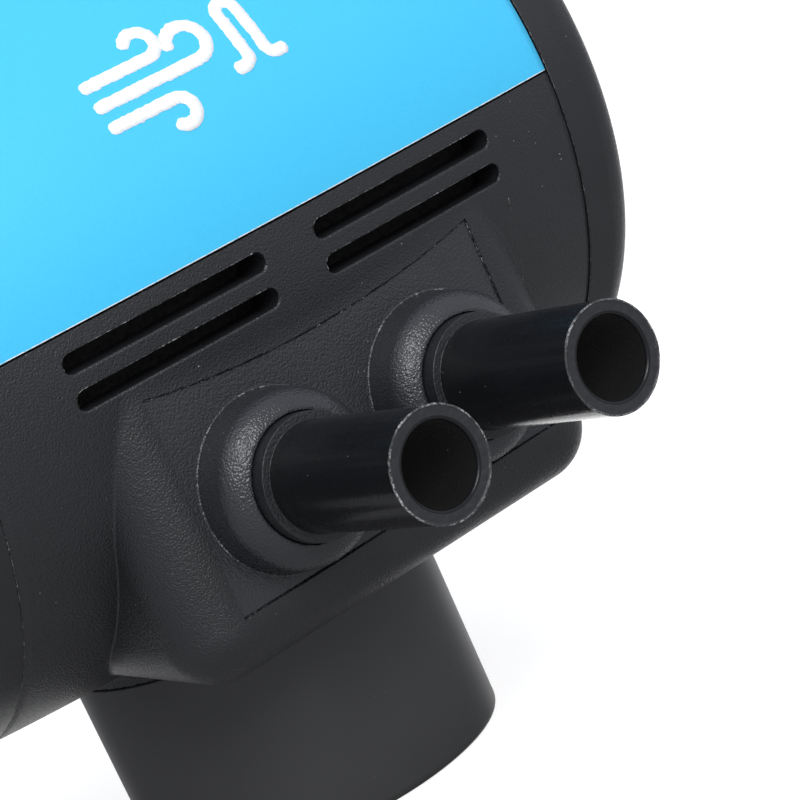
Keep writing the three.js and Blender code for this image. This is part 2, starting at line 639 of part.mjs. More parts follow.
// ---------------------------------------------------------------- materials
const finish = (color, roughness, metalness = 0) =>
  new THREE.MeshStandardMaterial({ color, roughness, metalness });
const looks = {
  shell: finish(0x1f2022, 0.55),
  gloss: finish(0x0e0f11, 0.28),
  label: finish(0x2fb4f2, 0.45),
  rubber: finish(0x2a2b2d, 0.75),
  diaphragm: finish(0x18181a, 0.8),
  steel: finish(0xb8bbc0, 0.3, 1),
  brass: finish(0xc8a04a, 0.35, 1),
  acetal: finish(0xe9e7df, 0.4),
  foam: finish(0x6c7077, 0.95),
};

// ---------------------------------------------------------------- assembly
const pulsator = new THREE.Group();
pulsator.position.set(0, 0, AXIS_HEIGHT);

function add(name, shape, look, place = [0, 0, 0]) {
  const mesh = shape.getMesh();
  const geometry = new THREE.BufferGeometry();
  geometry.setAttribute("position", new THREE.BufferAttribute(new Float32Array(mesh.vertProperties), 3));
  geometry.setIndex(new THREE.BufferAttribute(new Uint32Array(mesh.triVerts), 1));
  const made = new THREE.Mesh(geometry, looks[look]);
  made.name = name;
  made.position.set(...place);
  pulsator.add(made);
}

add("lower_housing", lowerHousing(), "shell");
add("top_cover", topCover(), "shell");
add("cover_label", label(), "label");
add("outlet_plate", outletPlate(), "shell");
add("vacuum_cuff", cuff(), "rubber");
add("air_filter", filterPad(), "foam");
add("filter_retainer", filterRetainer(), "shell");

for (const [side, sign, flip] of [["left", -1, mirrored], ["right", 1, (s) => s]]) {
  add(`${side}_end_cap`, flip(endCap()), "shell");
  SCREW_ANGLES.forEach((angle, i) => add(`${side}_cap_screw_${i + 1}`, flip(capScrew(angle)), "steel"));
  add(`${side}_diaphragm`, flip(diaphragm()), "diaphragm");
  add(`${side}_inner_plate`, flip(clampPlate(WEB_X[0] - 0.1 - PLATE_DISC_T)), "acetal");
  add(`${side}_outer_plate`, flip(clampPlate(WEB_X[1] + 0.1)), "acetal");
  add(`${side}_rod_screw`, flip(rodScrew()), "steel");
  add(`${side}_rod_bush`, bush(sign), "acetal");
  add(`${side}_nozzle`, nozzle(sign), "gloss");
  add(`${side}_nozzle_seal`, ring("y", 5.35, 0.7, -28.1, [sign * NOZZLE_X, NOZZLE_Z]), "rubber");
}

add("shuttle_rod", shuttleRod(), "steel");
add("toggle_yoke", yoke(), "acetal");
add("yoke_set_screw", rod("y", 0.98, 2.6, 4.4, [0, 0], 12), "steel");
add("spring_pin", rod("y", SPRING_PIN_R, -7.6, 7.6, [0, SPRING_PIN_Z], 16), "steel");

add("rocker", rocker(), "acetal", [0, 0, PIVOT_Z]);
for (const [side, sign] of [["front", -1], ["rear", 1]]) {
  const span = onSide(sign, [ARM_Y[0] - 0.4, BRACKET_Y[1] + 0.4]);
  add(`${side}_pivot_pin`, rod("y", PIVOT_R, ...span, [0, PIVOT_Z], 16), "steel");
  add(`${side}_toggle_spring`, toggleSpring(sign * SPRING_Y), "steel");
}

// Half widths along Y of each valve's seat, ports, slide and cup.
const valves = {
  main: { y: -VALVE_Y, seat: 5.4, port: 3, slide: 4.5, cup: 3.3 },
  pilot: { y: VALVE_Y, seat: 4, port: 1.2, slide: 3, cup: 1.6 },
};
for (const [name, v] of Object.entries(valves)) {
  add(`${name}_valve_seat`, valveSeat(v.y, v.seat, v.port), "acetal");
  add(`${name}_seat_gasket`, seatGasket(v.y, v.seat, v.port), "rubber");
  add(`${name}_seat_screw_1`, seatScrew(-SEAT_SCREW_X, v.y), "steel");
  add(`${name}_seat_screw_2`, seatScrew(SEAT_SCREW_X, v.y), "steel");
  add(`${name}_slide`, slide(v.y, v.slide, v.cup), "acetal");
}

add("rate_insert", rateInsert(), "brass");
add("rate_screw", rateScrew(), "brass");
add("rate_screw_seal", ring("y", 2.8, 0.32, 23.8, [0, RATE_Z]), "rubber");
add("metering_pin", meteringPin(), "brass");
add("metering_spring", rateSpring(), "steel");

export default pulsator;
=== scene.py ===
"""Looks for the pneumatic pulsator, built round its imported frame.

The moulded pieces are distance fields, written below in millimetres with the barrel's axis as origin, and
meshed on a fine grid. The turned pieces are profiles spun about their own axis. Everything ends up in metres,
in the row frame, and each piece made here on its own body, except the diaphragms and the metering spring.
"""

import json
import math

import bmesh
import bpy
import numpy as np
import openvdb
from mathutils import Matrix, Vector


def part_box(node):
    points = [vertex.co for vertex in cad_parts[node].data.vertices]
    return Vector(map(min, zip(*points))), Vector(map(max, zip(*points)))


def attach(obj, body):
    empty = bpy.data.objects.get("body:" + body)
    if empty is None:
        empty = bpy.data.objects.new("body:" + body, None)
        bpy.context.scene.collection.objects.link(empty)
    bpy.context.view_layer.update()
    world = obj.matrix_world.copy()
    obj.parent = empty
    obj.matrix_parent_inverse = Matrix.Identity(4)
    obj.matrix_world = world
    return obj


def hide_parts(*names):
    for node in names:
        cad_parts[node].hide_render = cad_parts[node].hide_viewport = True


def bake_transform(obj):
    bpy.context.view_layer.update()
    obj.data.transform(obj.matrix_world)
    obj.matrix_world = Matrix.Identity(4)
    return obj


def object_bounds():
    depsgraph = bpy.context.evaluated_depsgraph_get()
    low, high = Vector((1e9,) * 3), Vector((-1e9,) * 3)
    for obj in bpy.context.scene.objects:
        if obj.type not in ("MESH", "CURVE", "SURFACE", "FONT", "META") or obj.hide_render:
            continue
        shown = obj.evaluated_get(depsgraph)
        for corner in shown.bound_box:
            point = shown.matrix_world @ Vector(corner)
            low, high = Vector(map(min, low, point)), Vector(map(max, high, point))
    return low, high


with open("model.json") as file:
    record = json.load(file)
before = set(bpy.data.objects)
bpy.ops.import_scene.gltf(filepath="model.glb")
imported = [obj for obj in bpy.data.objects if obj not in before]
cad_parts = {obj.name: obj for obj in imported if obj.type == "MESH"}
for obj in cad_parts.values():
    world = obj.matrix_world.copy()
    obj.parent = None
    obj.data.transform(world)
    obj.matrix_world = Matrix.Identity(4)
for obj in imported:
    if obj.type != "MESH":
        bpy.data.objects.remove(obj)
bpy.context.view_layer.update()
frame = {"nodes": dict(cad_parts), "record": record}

MM = 0.001


def middle(node, axis):
    low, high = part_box(node)
    return (low[axis] + high[axis]) / 2 / MM


def edge(node, axis, end):
    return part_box(node)[end][axis] / MM


# ---------------------------------------------------------------- main sizes, in millimetres, from the frame
LOW, HIGH = 0, 1
X, Y, Z = 0, 1, 2
AXIS_Z = middle("shuttle_rod", Z)  # height of the barrel's axis in the row frame

SEAM_X = edge("right_end_cap", X, LOW)
HALF_LENGTH = SEAM_X - 0.03
MID_R = edge("lower_housing", Y, HIGH)
CAP_R = edge("right_end_cap", Y, HIGH)
END_R = CAP_R - 0.2
BULGE = MID_R - END_R
CAP_TOP_X = edge("right_end_cap", X, HIGH)
NOZZLE_X = middle("right_nozzle", X)
NOZZLE_Z = middle("right_nozzle", Z) - AXIS_Z
NOZZLE_TIP_Y = edge("right_nozzle", Y, LOW)
NOZZLE_TAIL_Y = edge("right_nozzle", Y, HIGH)
SHOULDER_R = (edge("right_nozzle", X, HIGH) - edge("right_nozzle", X, LOW)) / 2
COLLAR_Y = edge("outlet_plate", Y, LOW)
PLATE_BACK_Y = edge("outlet_plate", Y, HIGH)
PLATE_HALF_X = edge("outlet_plate", X, HIGH)
PLATE_BOTTOM_Z = edge("outlet_plate", Z, LOW) - AXIS_Z
CUFF_TOP_Z = edge("vacuum_cuff", Z, HIGH) - AXIS_Z
CUFF_RIM_Z = edge("vacuum_cuff", Z, LOW) - AXIS_Z
CUFF_R = edge("vacuum_cuff", X, HIGH)
SPIGOT_END_Z = edge("lower_housing", Z, LOW) - AXIS_Z
RATE_Z = middle("rate_screw", Z) - AXIS_Z
RATE_END_Y = edge("rate_insert", Y, HIGH)
SCREW_OFFSET = middle("right_cap_screw_1", Y)
SEAT_Z = -AXIS_Z

PLATE_Y = PLATE_BACK_Y - 2.66  # front face of the outlet plate
NOZZLE_R = 4.5
NOZZLE_BORE_R = 3.3
COLLAR_R = 7.5
BORE_R = 28.6
BLOCK_HALF_X = 22.4
BLOCK_FRONT_Y = -31.8
BLOCK_BOTTOM_Z = -32.0  # at the front
BLOCK_BOTTOM_SLOPE = 0.055
BLOCK_EDGE_R = 5.2
BLOCK_CORNER_R = 5.0
SLOT_ROWS = (-2.35, -5.4)
SLOT_ENDS = (3.4, 21.5)
SLOT_HALF = 0.8
DECK_Z = -14.0  # top of the deck that carries the valve seats
SPIGOT_R = 13.3
SPIGOT_BORE_R = 11.6
BOSS_R = 5.6  # round the rate control
PILLAR_R = 3.0  # round the cap screws
PILOT_HOLE_R = 1.3
SCREW_CLEARANCE_R = 1.6
SCREW_SINK_R = 2.8
NOZZLE_DUCT_R = 3.0
POCKET_OVERLAP = 0.01  # the plate is this much wider than its pocket, so no light gets through

COARSE = 1.0  # mesh spacing, wider while trying things


# ---------------------------------------------------------------- distance fields
def union(*fields):
    out = fields[0]
    for f in fields[1:]:
        out = np.minimum(out, f)
    return out


def common(*fields):
    out = fields[0]
    for f in fields[1:]:
        out = np.maximum(out, f)
    return out


def round_common(a, b, r):
    """Intersection whose edge is rounded to radius r."""
    u = np.maximum(a + r, 0)
    v = np.maximum(b + r, 0)
    return np.minimum(np.maximum(a, b), -r) + np.sqrt(u * u + v * v)


def round_union(a, b, r):
    """Union whose inner corner is filled to radius r."""
    u = np.maximum(r - a, 0)
    v = np.maximum(r - b, 0)
    return np.maximum(np.minimum(a, b), r) - np.sqrt(u * u + v * v)


def round_cut(a, b, r):
    return round_common(a, -b, r)


def slab(c, low, high):
    return np.maximum(low - c, c - high)


def block(x, y, z, xs, ys, zs, r=0.3):
    d = round_common(slab(x, *xs), slab(y, *ys), r)
    return round_common(d, slab(z, *zs), r)


def disc(u, v, centre, radius):
    return np.hypot(u - centre[0], v - centre[1]) - radius


def step_up(t):
    t = np.clip(t, 0, 1)
    return t * t * (3 - 2 * t)


def refined(points, field):
    """Grid vertices pulled onto the surface, and the surface normal at each."""
    step = 0.01
    p = points.astype(np.float64)
    for _ in range(3):
        value = field(p[:, 0], p[:, 1], p[:, 2])
        slope = gradient(p, field, step)
        square = np.maximum((slope * slope).sum(1), 0.2)
        move = np.clip(value / square, -0.12, 0.12)
        p -= slope * move[:, None]
    slope = gradient(p, field, step)
    return p, slope / np.maximum(np.linalg.norm(slope, axis=1), 1e-9)[:, None]


def gradient(p, field, step):
    out = np.empty_like(p)
    for axis in range(3):
        shift = np.zeros(3)
        shift[axis] = step
        a, b = p + shift, p - shift
        out[:, axis] = (field(a[:, 0], a[:, 1], a[:, 2]) - field(b[:, 0], b[:, 1], b[:, 2])) / (2 * step)
    return out


def to_row(points):
    """Millimetres from the barrel's axis to metres in the row frame."""
    return (np.asarray(points, float) + (0, 0, AXIS_Z)) * MM


def mesh_object(name, points, faces, normals=None):
    mesh = bpy.data.meshes.new(name)
    mesh.from_pydata(to_row(points).tolist(), [], faces)
    mesh.update()
    mesh.shade_smooth()
    if normals is not None:
        mesh.normals_split_custom_set_from_vertices(normals.tolist())
    made = bpy.data.objects.new(name, mesh)
    bpy.context.scene.collection.objects.link(made)
    return made


def split_near(points, faces, near, levels):
    """The same faces, each split in four where near(x, y, z) holds, levels times over."""
    mesh = bpy.data.meshes.new("split")
    mesh.from_pydata(points.tolist(), [], faces)
    bm = bmesh.new()
    bm.from_mesh(mesh)
    for _ in range(levels):
        bm.verts.index_update()
        where = np.array([v.co for v in bm.verts])
        chosen = near(where[:, 0], where[:, 1], where[:, 2])
        edges = [e for e in bm.edges if chosen[e.verts[0].index] and chosen[e.verts[1].index]]
        bmesh.ops.subdivide_edges(bm, edges=edges, cuts=1, use_grid_fill=True)
    bm.verts.index_update()
    points = np.array([v.co for v in bm.verts])
    faces = [[v.index for v in f.verts] for f in bm.faces]
    bm.free()
    bpy.data.meshes.remove(mesh)
    return points, faces


def moulded(name, field, low, high, voxel, near=None, levels=2):
    """A piece meshed from its distance field inside a box, with a finer mesh where near(x, y, z) holds."""
    voxel = voxel * COARSE
    counts = [int(math.ceil((b - a) / voxel)) + 1 for a, b in zip(low, high)]
    axes = [(low[i] + voxel * np.arange(counts[i])).astype(np.float32) for i in range(3)]
    values = np.empty(counts, np.float32)
    rows = 24
    for start in range(0, counts[0], rows):
        part = slice(start, start + rows)
        x = axes[0][part][:, None, None]
        values[part] = field(x, axes[1][None, :, None], axes[2][None, None, :])
    band = 3 * voxel
    grid = openvdb.FloatGrid(background=band)
    grid.copyFromArray(np.clip(values, -band, band))
    points, triangles, quads = grid.convertToPolygons(0.0, 0.0)
    points = points * voxel + np.array(low)
    faces = quads.tolist() + triangles.tolist()
    if near:
        points, _ = refined(points, field)
        points, faces = split_near(points, faces, near, levels)
    points, normals = refined(points, field)
    return mesh_object(name, points, faces, normals)


# ---------------------------------------------------------------- turned pieces
def rounded(points, radius, steps=5):
    """An open outline with each inner corner rounded. A point may carry its own radius as a third value."""
    out = [np.array(points[0][:2], float)]
    for before, here, after in zip(points, points[1:], points[2:]):
        r = here[2] if len(here) > 2 else radius
        a, b, c = (np.array(q[:2], float) for q in (before, here, after))
        u, v = a - b, c - b
        lu, lv = np.linalg.norm(u), np.linalg.norm(v)
        u, v = u / lu, v / lv
        half = math.acos(float(np.clip(u @ v, -1, 1))) / 2
        if r <= 0 or half > math.radians(88):
            out.append(b)
            continue
        back = min(r / math.tan(half), 0.45 * lu, 0.45 * lv)
        start, end = b + u * back, b + v * back
        for i in range(steps + 1):
            t = i / steps
            out.append((1 - t) ** 2 * start + 2 * t * (1 - t) * b + t * t * end)
    out.append(np.array(points[-1][:2], float))
    return out


def turned(name, axis, outline, centre=(0, 0), segments=128, shift=None):
    """A closed outline of (distance along the axis, radius) points, spun about an axis parallel to X, Y or Z.
    shift(angles, along, radius) may return small extra (along, radius) moves for surface irregularity."""
    outline = np.array(outline, float)
    n = len(outline)
    angle = 2 * np.pi * np.arange(segments) / segments
    along = np.repeat(outline[:, 0][:, None], segments, 1)
    radius = np.repeat(outline[:, 1][:, None], segments, 1)
    if shift:
        more_along, more_radius = shift(angle[None, :], along, radius)
        along, radius = along + more_along, radius + more_radius
    u, v = radius * np.cos(angle), radius * np.sin(angle)
    columns = {X: (along, u + centre[0], v + centre[1]), Y: (u + centre[0], along, v + centre[1]),
               Z: (u + centre[0], v + centre[1], along)}[axis]
    points = np.stack(columns, -1).reshape(-1, 3)
    faces = []
    for i in range(n):
        j = (i + 1) % n
        for k in range(segments):
            m = (k + 1) % segments
            faces.append((i * segments + k, j * segments + k, j * segments + m, i * segments + m))
    made = mesh_object(name, points, faces)
    outward(made)
    return made


def outward(piece):
    bm = bmesh.new()
    bm.from_mesh(piece.data)
    bmesh.ops.recalc_face_normals(bm, faces=bm.faces)
    bm.to_mesh(piece.data)
    bm.free()
    piece.data.shade_smooth()


# ---------------------------------------------------------------- materials
class Nodes:
    """Short-hand for building a material's node tree."""

    def __init__(self, name):
        self.material = bpy.data.materials.new(name)
        self.material.use_nodes = True
        self.tree = self.material.node_tree
        self.shader = self.tree.nodes["Principled BSDF"]
        self.place = self.tree.nodes.new("ShaderNodeTexCoord").outputs["Object"]

    def add(self, kind, _out=0, _set=None, **inputs):
        node = self.tree.nodes.new("ShaderNode" + kind)
        for key, value in (_set or {}).items():
            setattr(node, key, value)
        for key, value in inputs.items():
            slot = node.inputs[int(key[1:])] if key[0] == "i" and key[1:].isdigit() else node.inputs[key]
            self.give(slot, value)
        return node.outputs[_out]

    def give(self, slot, value):
        if isinstance(value, bpy.types.NodeSocket):
            self.tree.links.new(value, slot)
        else:
            slot.default_value = value

    def math(self, operation, a, b=0.0, c=0.0):
        return self.add("Math", _set={"operation": operation}, i0=a, i1=b, i2=c)

    def noise(self, scale, detail=3.0, roughness=0.55, stretch=None):
        place = self.place
        if stretch:
            place = self.add("VectorMath", _set={"operation": "MULTIPLY"}, i0=place, i1=stretch)
        return self.add("TexNoise", Vector=place, Scale=scale, Detail=detail, Roughness=roughness)

    def cells(self, scale, _out=0, **inputs):
        return self.add("TexVoronoi", _out=_out, Vector=self.place, Scale=scale, **inputs)

    def ramp(self, value, low, high, out_low=0.0, out_high=1.0):
        node = self.tree.nodes.new("ShaderNodeMapRange")
        node.clamp = True
        for slot, given in zip(range(5), (value, low, high, out_low, out_high)):
            self.give(node.inputs[slot], given)
        return node.outputs[0]

    def mix(self, share, a, b):
        node = self.tree.nodes.new("ShaderNodeMix")
        node.data_type = "RGBA"
        self.give(node.inputs["Factor"], share)
        self.give(node.inputs[6], a)
        self.give(node.inputs[7], b)
        return node.outputs[2]

    def bump(self, height, distance, strength=1.0, normal=None):
        inputs = {"Height": height, "Distance": distance, "Strength": strength}
        if normal is not None:
            inputs["Normal"] = normal
        return self.add("Bump", **inputs)

    def set(self, **inputs):
        for key, value in inputs.items():
            self.give(self.shader.inputs[key.replace("_", " ")], value)


def grey(value):
    return (value, value, value, 1)


def dust_and_sparkle(n, density=0.5, cell=1000.0, size=0.055):
    """Sparse pale specks, partly dust and partly painted sparkle glints: in some cells of a fine pattern, a
    dot at the cell's centre.
    """
    far = n.cells(cell)
    pick = n.add("TexWhiteNoise", Vector=n.cells(cell, _out=2))
    dot = n.math("LESS_THAN", far, size)
    some = n.math("LESS_THAN", pick, density)
    patches = n.ramp(n.noise(90.0), 0.42, 0.6)
    return n.math("MULTIPLY", n.math("MULTIPLY", dot, some), patches)


def plastic(name, base, roughness, grain, depth, specks=0.0, edge_radius=0.0, tint=(1, 1, 1), painted_glow=0.0,
            gloss=0.5):
    """Moulded black plastic: grain as small pits and ridges, slight unevenness of gloss, and pale specks that
    are partly dust and partly painted sparkle.
    The emission strength argument is a faint painted glow: emitted light that keeps a deep bore from being
    wholly black."""
    n = Nodes(name)
    wide = n.noise(60.0, 4.0)
    fine = n.noise(grain, 1.0, 0.5)
    pits = n.cells(grain * 0.9, _set={"feature": "SMOOTH_F1"}, Smoothness=0.3)
    height = n.math("ADD", n.math("MULTIPLY", fine, 0.5), n.math("MULTIPLY", pits, -0.8))
    start = n.add("Bevel", Radius=edge_radius * MM) if edge_radius else None
    n.set(Normal=n.bump(height, depth * MM, 1.0, start))
    dark = tuple(base * 0.82 * t for t in tint) + (1,)
    light = tuple(base * 1.2 * t for t in tint) + (1,)
    color = n.mix(n.ramp(wide, 0.3, 0.7), dark, light)
    # The pale specks stand partly for dust and partly for painted sparkle on the grain.
    if specks:
        color = n.mix(n.math("MULTIPLY", dust_and_sparkle(n), specks), color, grey(0.42))
    n.set(Base_Color=color, Roughness=n.ramp(fine, 0.25, 0.75, roughness - 0.1, roughness + 0.08))
    # The emission here is painted glow, not a lamp.
    n.set(IOR=1.49, Specular_IOR_Level=gloss, Emission_Color=(1, 0.98, 0.96, 1), Emission_Strength=painted_glow)
    return n.material


def metal(name, color, roughness, brushed=(1, 1, 1)):
    n = Nodes(name)
    lines = n.noise(2500.0, 3.0, 0.6, brushed)
    wide = n.noise(220.0, 3.0)
    dark = tuple(c * 0.8 for c in color) + (1,)
    n.set(Metallic=1.0, Base_Color=n.mix(n.ramp(wide, 0.35, 0.65), dark, (*color, 1)))
    n.set(Roughness=n.ramp(lines, 0.3, 0.7, roughness * 0.75, roughness * 1.35))
    n.set(Normal=n.bump(lines, 0.008 * MM, 1.0, n.add("Bevel", Radius=0.12 * MM)))
    return n.material


def light_plastic(name, color, roughness=0.42):
    n = Nodes(name)
    wide = n.noise(140.0, 4.0)
    fine = n.noise(3200.0, 2.0)
    dark = tuple(c * 0.9 for c in color) + (1,)
    n.set(Base_Color=n.mix(n.ramp(wide, 0.3, 0.7), dark, (*color, 1)))
    n.set(Roughness=n.ramp(fine, 0.3, 0.7, roughness - 0.05, roughness + 0.08))
    n.set(Normal=n.bump(fine, 0.01 * MM, 1.0, n.add("Bevel", Radius=0.15 * MM)), Subsurface_Weight=0.05)
    return n.material


def rubber(name, base, roughness=0.62):
    n = Nodes(name)
    wide = n.noise(35.0, 5.0, 0.6)
    fine = n.noise(2600.0, 3.0, 0.7)
    color = n.mix(n.ramp(wide, 0.3, 0.7), grey(base * 0.85), grey(base * 1.2))
    color = n.mix(n.math("MULTIPLY", dust_and_sparkle(n, 0.3), 0.35), color, grey(0.3))
    n.set(Base_Color=color, Roughness=n.ramp(wide, 0.3, 0.7, roughness - 0.05, roughness + 0.08))
    n.set(Normal=n.bump(fine, 0.02 * MM), IOR=1.5)
    return n.material


def film(name, color):
    """Printed label film: a fine mottle in the colour, satin surface."""
    n = Nodes(name)
    mottle = n.noise(4800.0, 3.0, 0.7)
    wide = n.noise(45.0, 3.0)
    mixed = n.mix(n.ramp(mottle, 0.35, 0.65), tuple(c * 0.93 for c in color) + (1,), (*color, 1))
    mixed = n.mix(n.ramp(wide, 0.3, 0.7, 0, 0.25), mixed, tuple(c * 0.93 for c in color) + (1,))
    n.set(Base_Color=mixed, Roughness=n.ramp(mottle, 0.3, 0.7, 0.42, 0.52), Normal=n.bump(mottle, 0.006 * MM))
    return n.material


def painted_glints(name):
    """Flash beads and rims coloured with painted glints: pale where light would catch the edge, and dark by
    turns.
    """
    n = Nodes(name)
    glint_grain = n.noise(5200.0, 3.0, 0.7)
    patchy = n.noise(700.0, 2.0)
    pale = n.math("MULTIPLY", n.ramp(glint_grain, 0.42, 0.62), n.ramp(patchy, 0.4, 0.62, 0.08, 1.0))
    n.set(Base_Color=n.mix(pale, grey(0.015), grey(0.42)), Roughness=n.ramp(glint_grain, 0.3, 0.7, 0.3, 0.5))
    n.set(Normal=n.bump(glint_grain, 0.04 * MM))
    return n.material


def foam(name, base):
    n = Nodes(name)
    holes = n.cells(1500.0)
    # The pores are painted darker: painted shade in the pits that the bump also makes.
    n.set(Base_Color=n.mix(n.ramp(holes, 0.1, 0.5), grey(base * 0.3), grey(base)), Roughness=0.95)
    n.set(Normal=n.bump(holes, 0.3 * MM))
    return n.material


def printed(name, thin):
    """White ink or bare film edge, tinted where it is thin."""
    n = Nodes(name)
    worn = n.noise(2300.0, 3.0, 0.7)
    n.set(Base_Color=n.mix(n.ramp(worn, 0.35, 0.55), thin, grey(0.95)), Roughness=0.5)
    n.set(Normal=n.bump(worn, 0.01 * MM))
    return n.material


BLACK = (0.94, 0.98, 1.12)
BODY = plastic("body_plastic", 0.0125, 0.45, 6200.0, 0.062, specks=0.8, tint=BLACK)
PANEL = plastic("panel_plastic", 0.024, 0.28, 5600.0, 0.058, specks=0.8, tint=BLACK)
SHOULDER = plastic("shoulder_plastic", 0.014, 0.4, 4200.0, 0.05, specks=0.5, tint=BLACK)
NOZZLE_END = plastic("nozzle_end_plastic", 0.013, 0.46, 1700.0, 0.1, specks=1.0, tint=BLACK)
CAP = plastic("cap_plastic", 0.012, 0.46, 4600.0, 0.02, specks=0.5, tint=BLACK)
GLOSS = plastic("nozzle_plastic", 0.0085, 0.2, 5200.0, 0.006, specks=0.5, tint=BLACK, gloss=0.24)
# The bore's plastic emits a faint painted glow so the bore does not render wholly black.
NOZZLE_INSIDE = plastic("nozzle_inside_plastic", 0.009, 0.3, 3000.0, 0.02, specks=1.0, painted_glow=0.0035)
# The pale grey of this material is painted highlight on edges, not a colour of the plastic.
GLINT_EDGE = painted_glints("painted_glint_edge")
INNER = plastic("inner_plastic", 0.02, 0.5, 4200.0, 0.03, edge_radius=0.15)
CUFF = rubber("cuff_rubber", 0.034, 0.48)
SOFT = rubber("seal_rubber", 0.01, 0.5)
LABEL = film("label_film", (0.046, 0.51, 0.83))
LABEL_EDGE = printed("label_cut_edge", (0.3, 0.72, 0.95, 1))
PRINT = printed("label_print", (0.8, 0.9, 0.96, 1))
STEEL = metal("steel", (0.62, 0.63, 0.65), 0.28, (1, 12, 12))
BRASS = metal("brass", (0.78, 0.55, 0.22), 0.3, (12, 1, 12))
ACETAL = light_plastic("acetal", (0.78, 0.77, 0.72))
FOAM = foam("filter_foam", 0.012)

SLOT_LOOKS = {
    "housing_plastic": INNER,
    "nozzle_plastic": GLOSS,
    "label_film": LABEL,
    "cuff_rubber": SOFT,
    "diaphragm_rubber": SOFT,
    "steel": STEEL,
    "brass": BRASS,
    "acetal": ACETAL,
    "filter_foam": FOAM,
}


def dress(piece, look):
    piece.data.materials.clear()
    piece.data.materials.append(look)


def place(piece, look, body, slot, *nodes):
    dress(piece, look)
    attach(piece, body)
    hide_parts(*nodes)
    return piece


# ---------------------------------------------------------------- lower housing
def barrel_radius(x):
    return END_R + BULGE * (1 - (x / HALF_LENGTH) ** 2)


def housing_block(x, y, z):
    side = np.abs(x) - BLOCK_HALF_X
    under = BLOCK_BOTTOM_Z + BLOCK_BOTTOM_SLOPE * (y - BLOCK_FRONT_Y) - z
    front = BLOCK_FRONT_Y - y
    body = round_common(round_common(side, under, BLOCK_CORNER_R), front, BLOCK_EDGE_R)
    return common(body, y - 2, z + 1)


def plate_top(x):
    """Height at which the plate's front plane leaves the barrel."""
    return -np.sqrt(np.maximum(barrel_radius(x) ** 2 - PLATE_Y ** 2, 0))


def at_screws(y, z, r, rows=(-1, 1)):
    """Rods of radius r along the cap screws, in the lower row (-1), the upper row (1) or both."""
    return union(*[disc(y, z, (a * SCREW_OFFSET, b * SCREW_OFFSET), r) for a in (-1, 1) for b in rows])


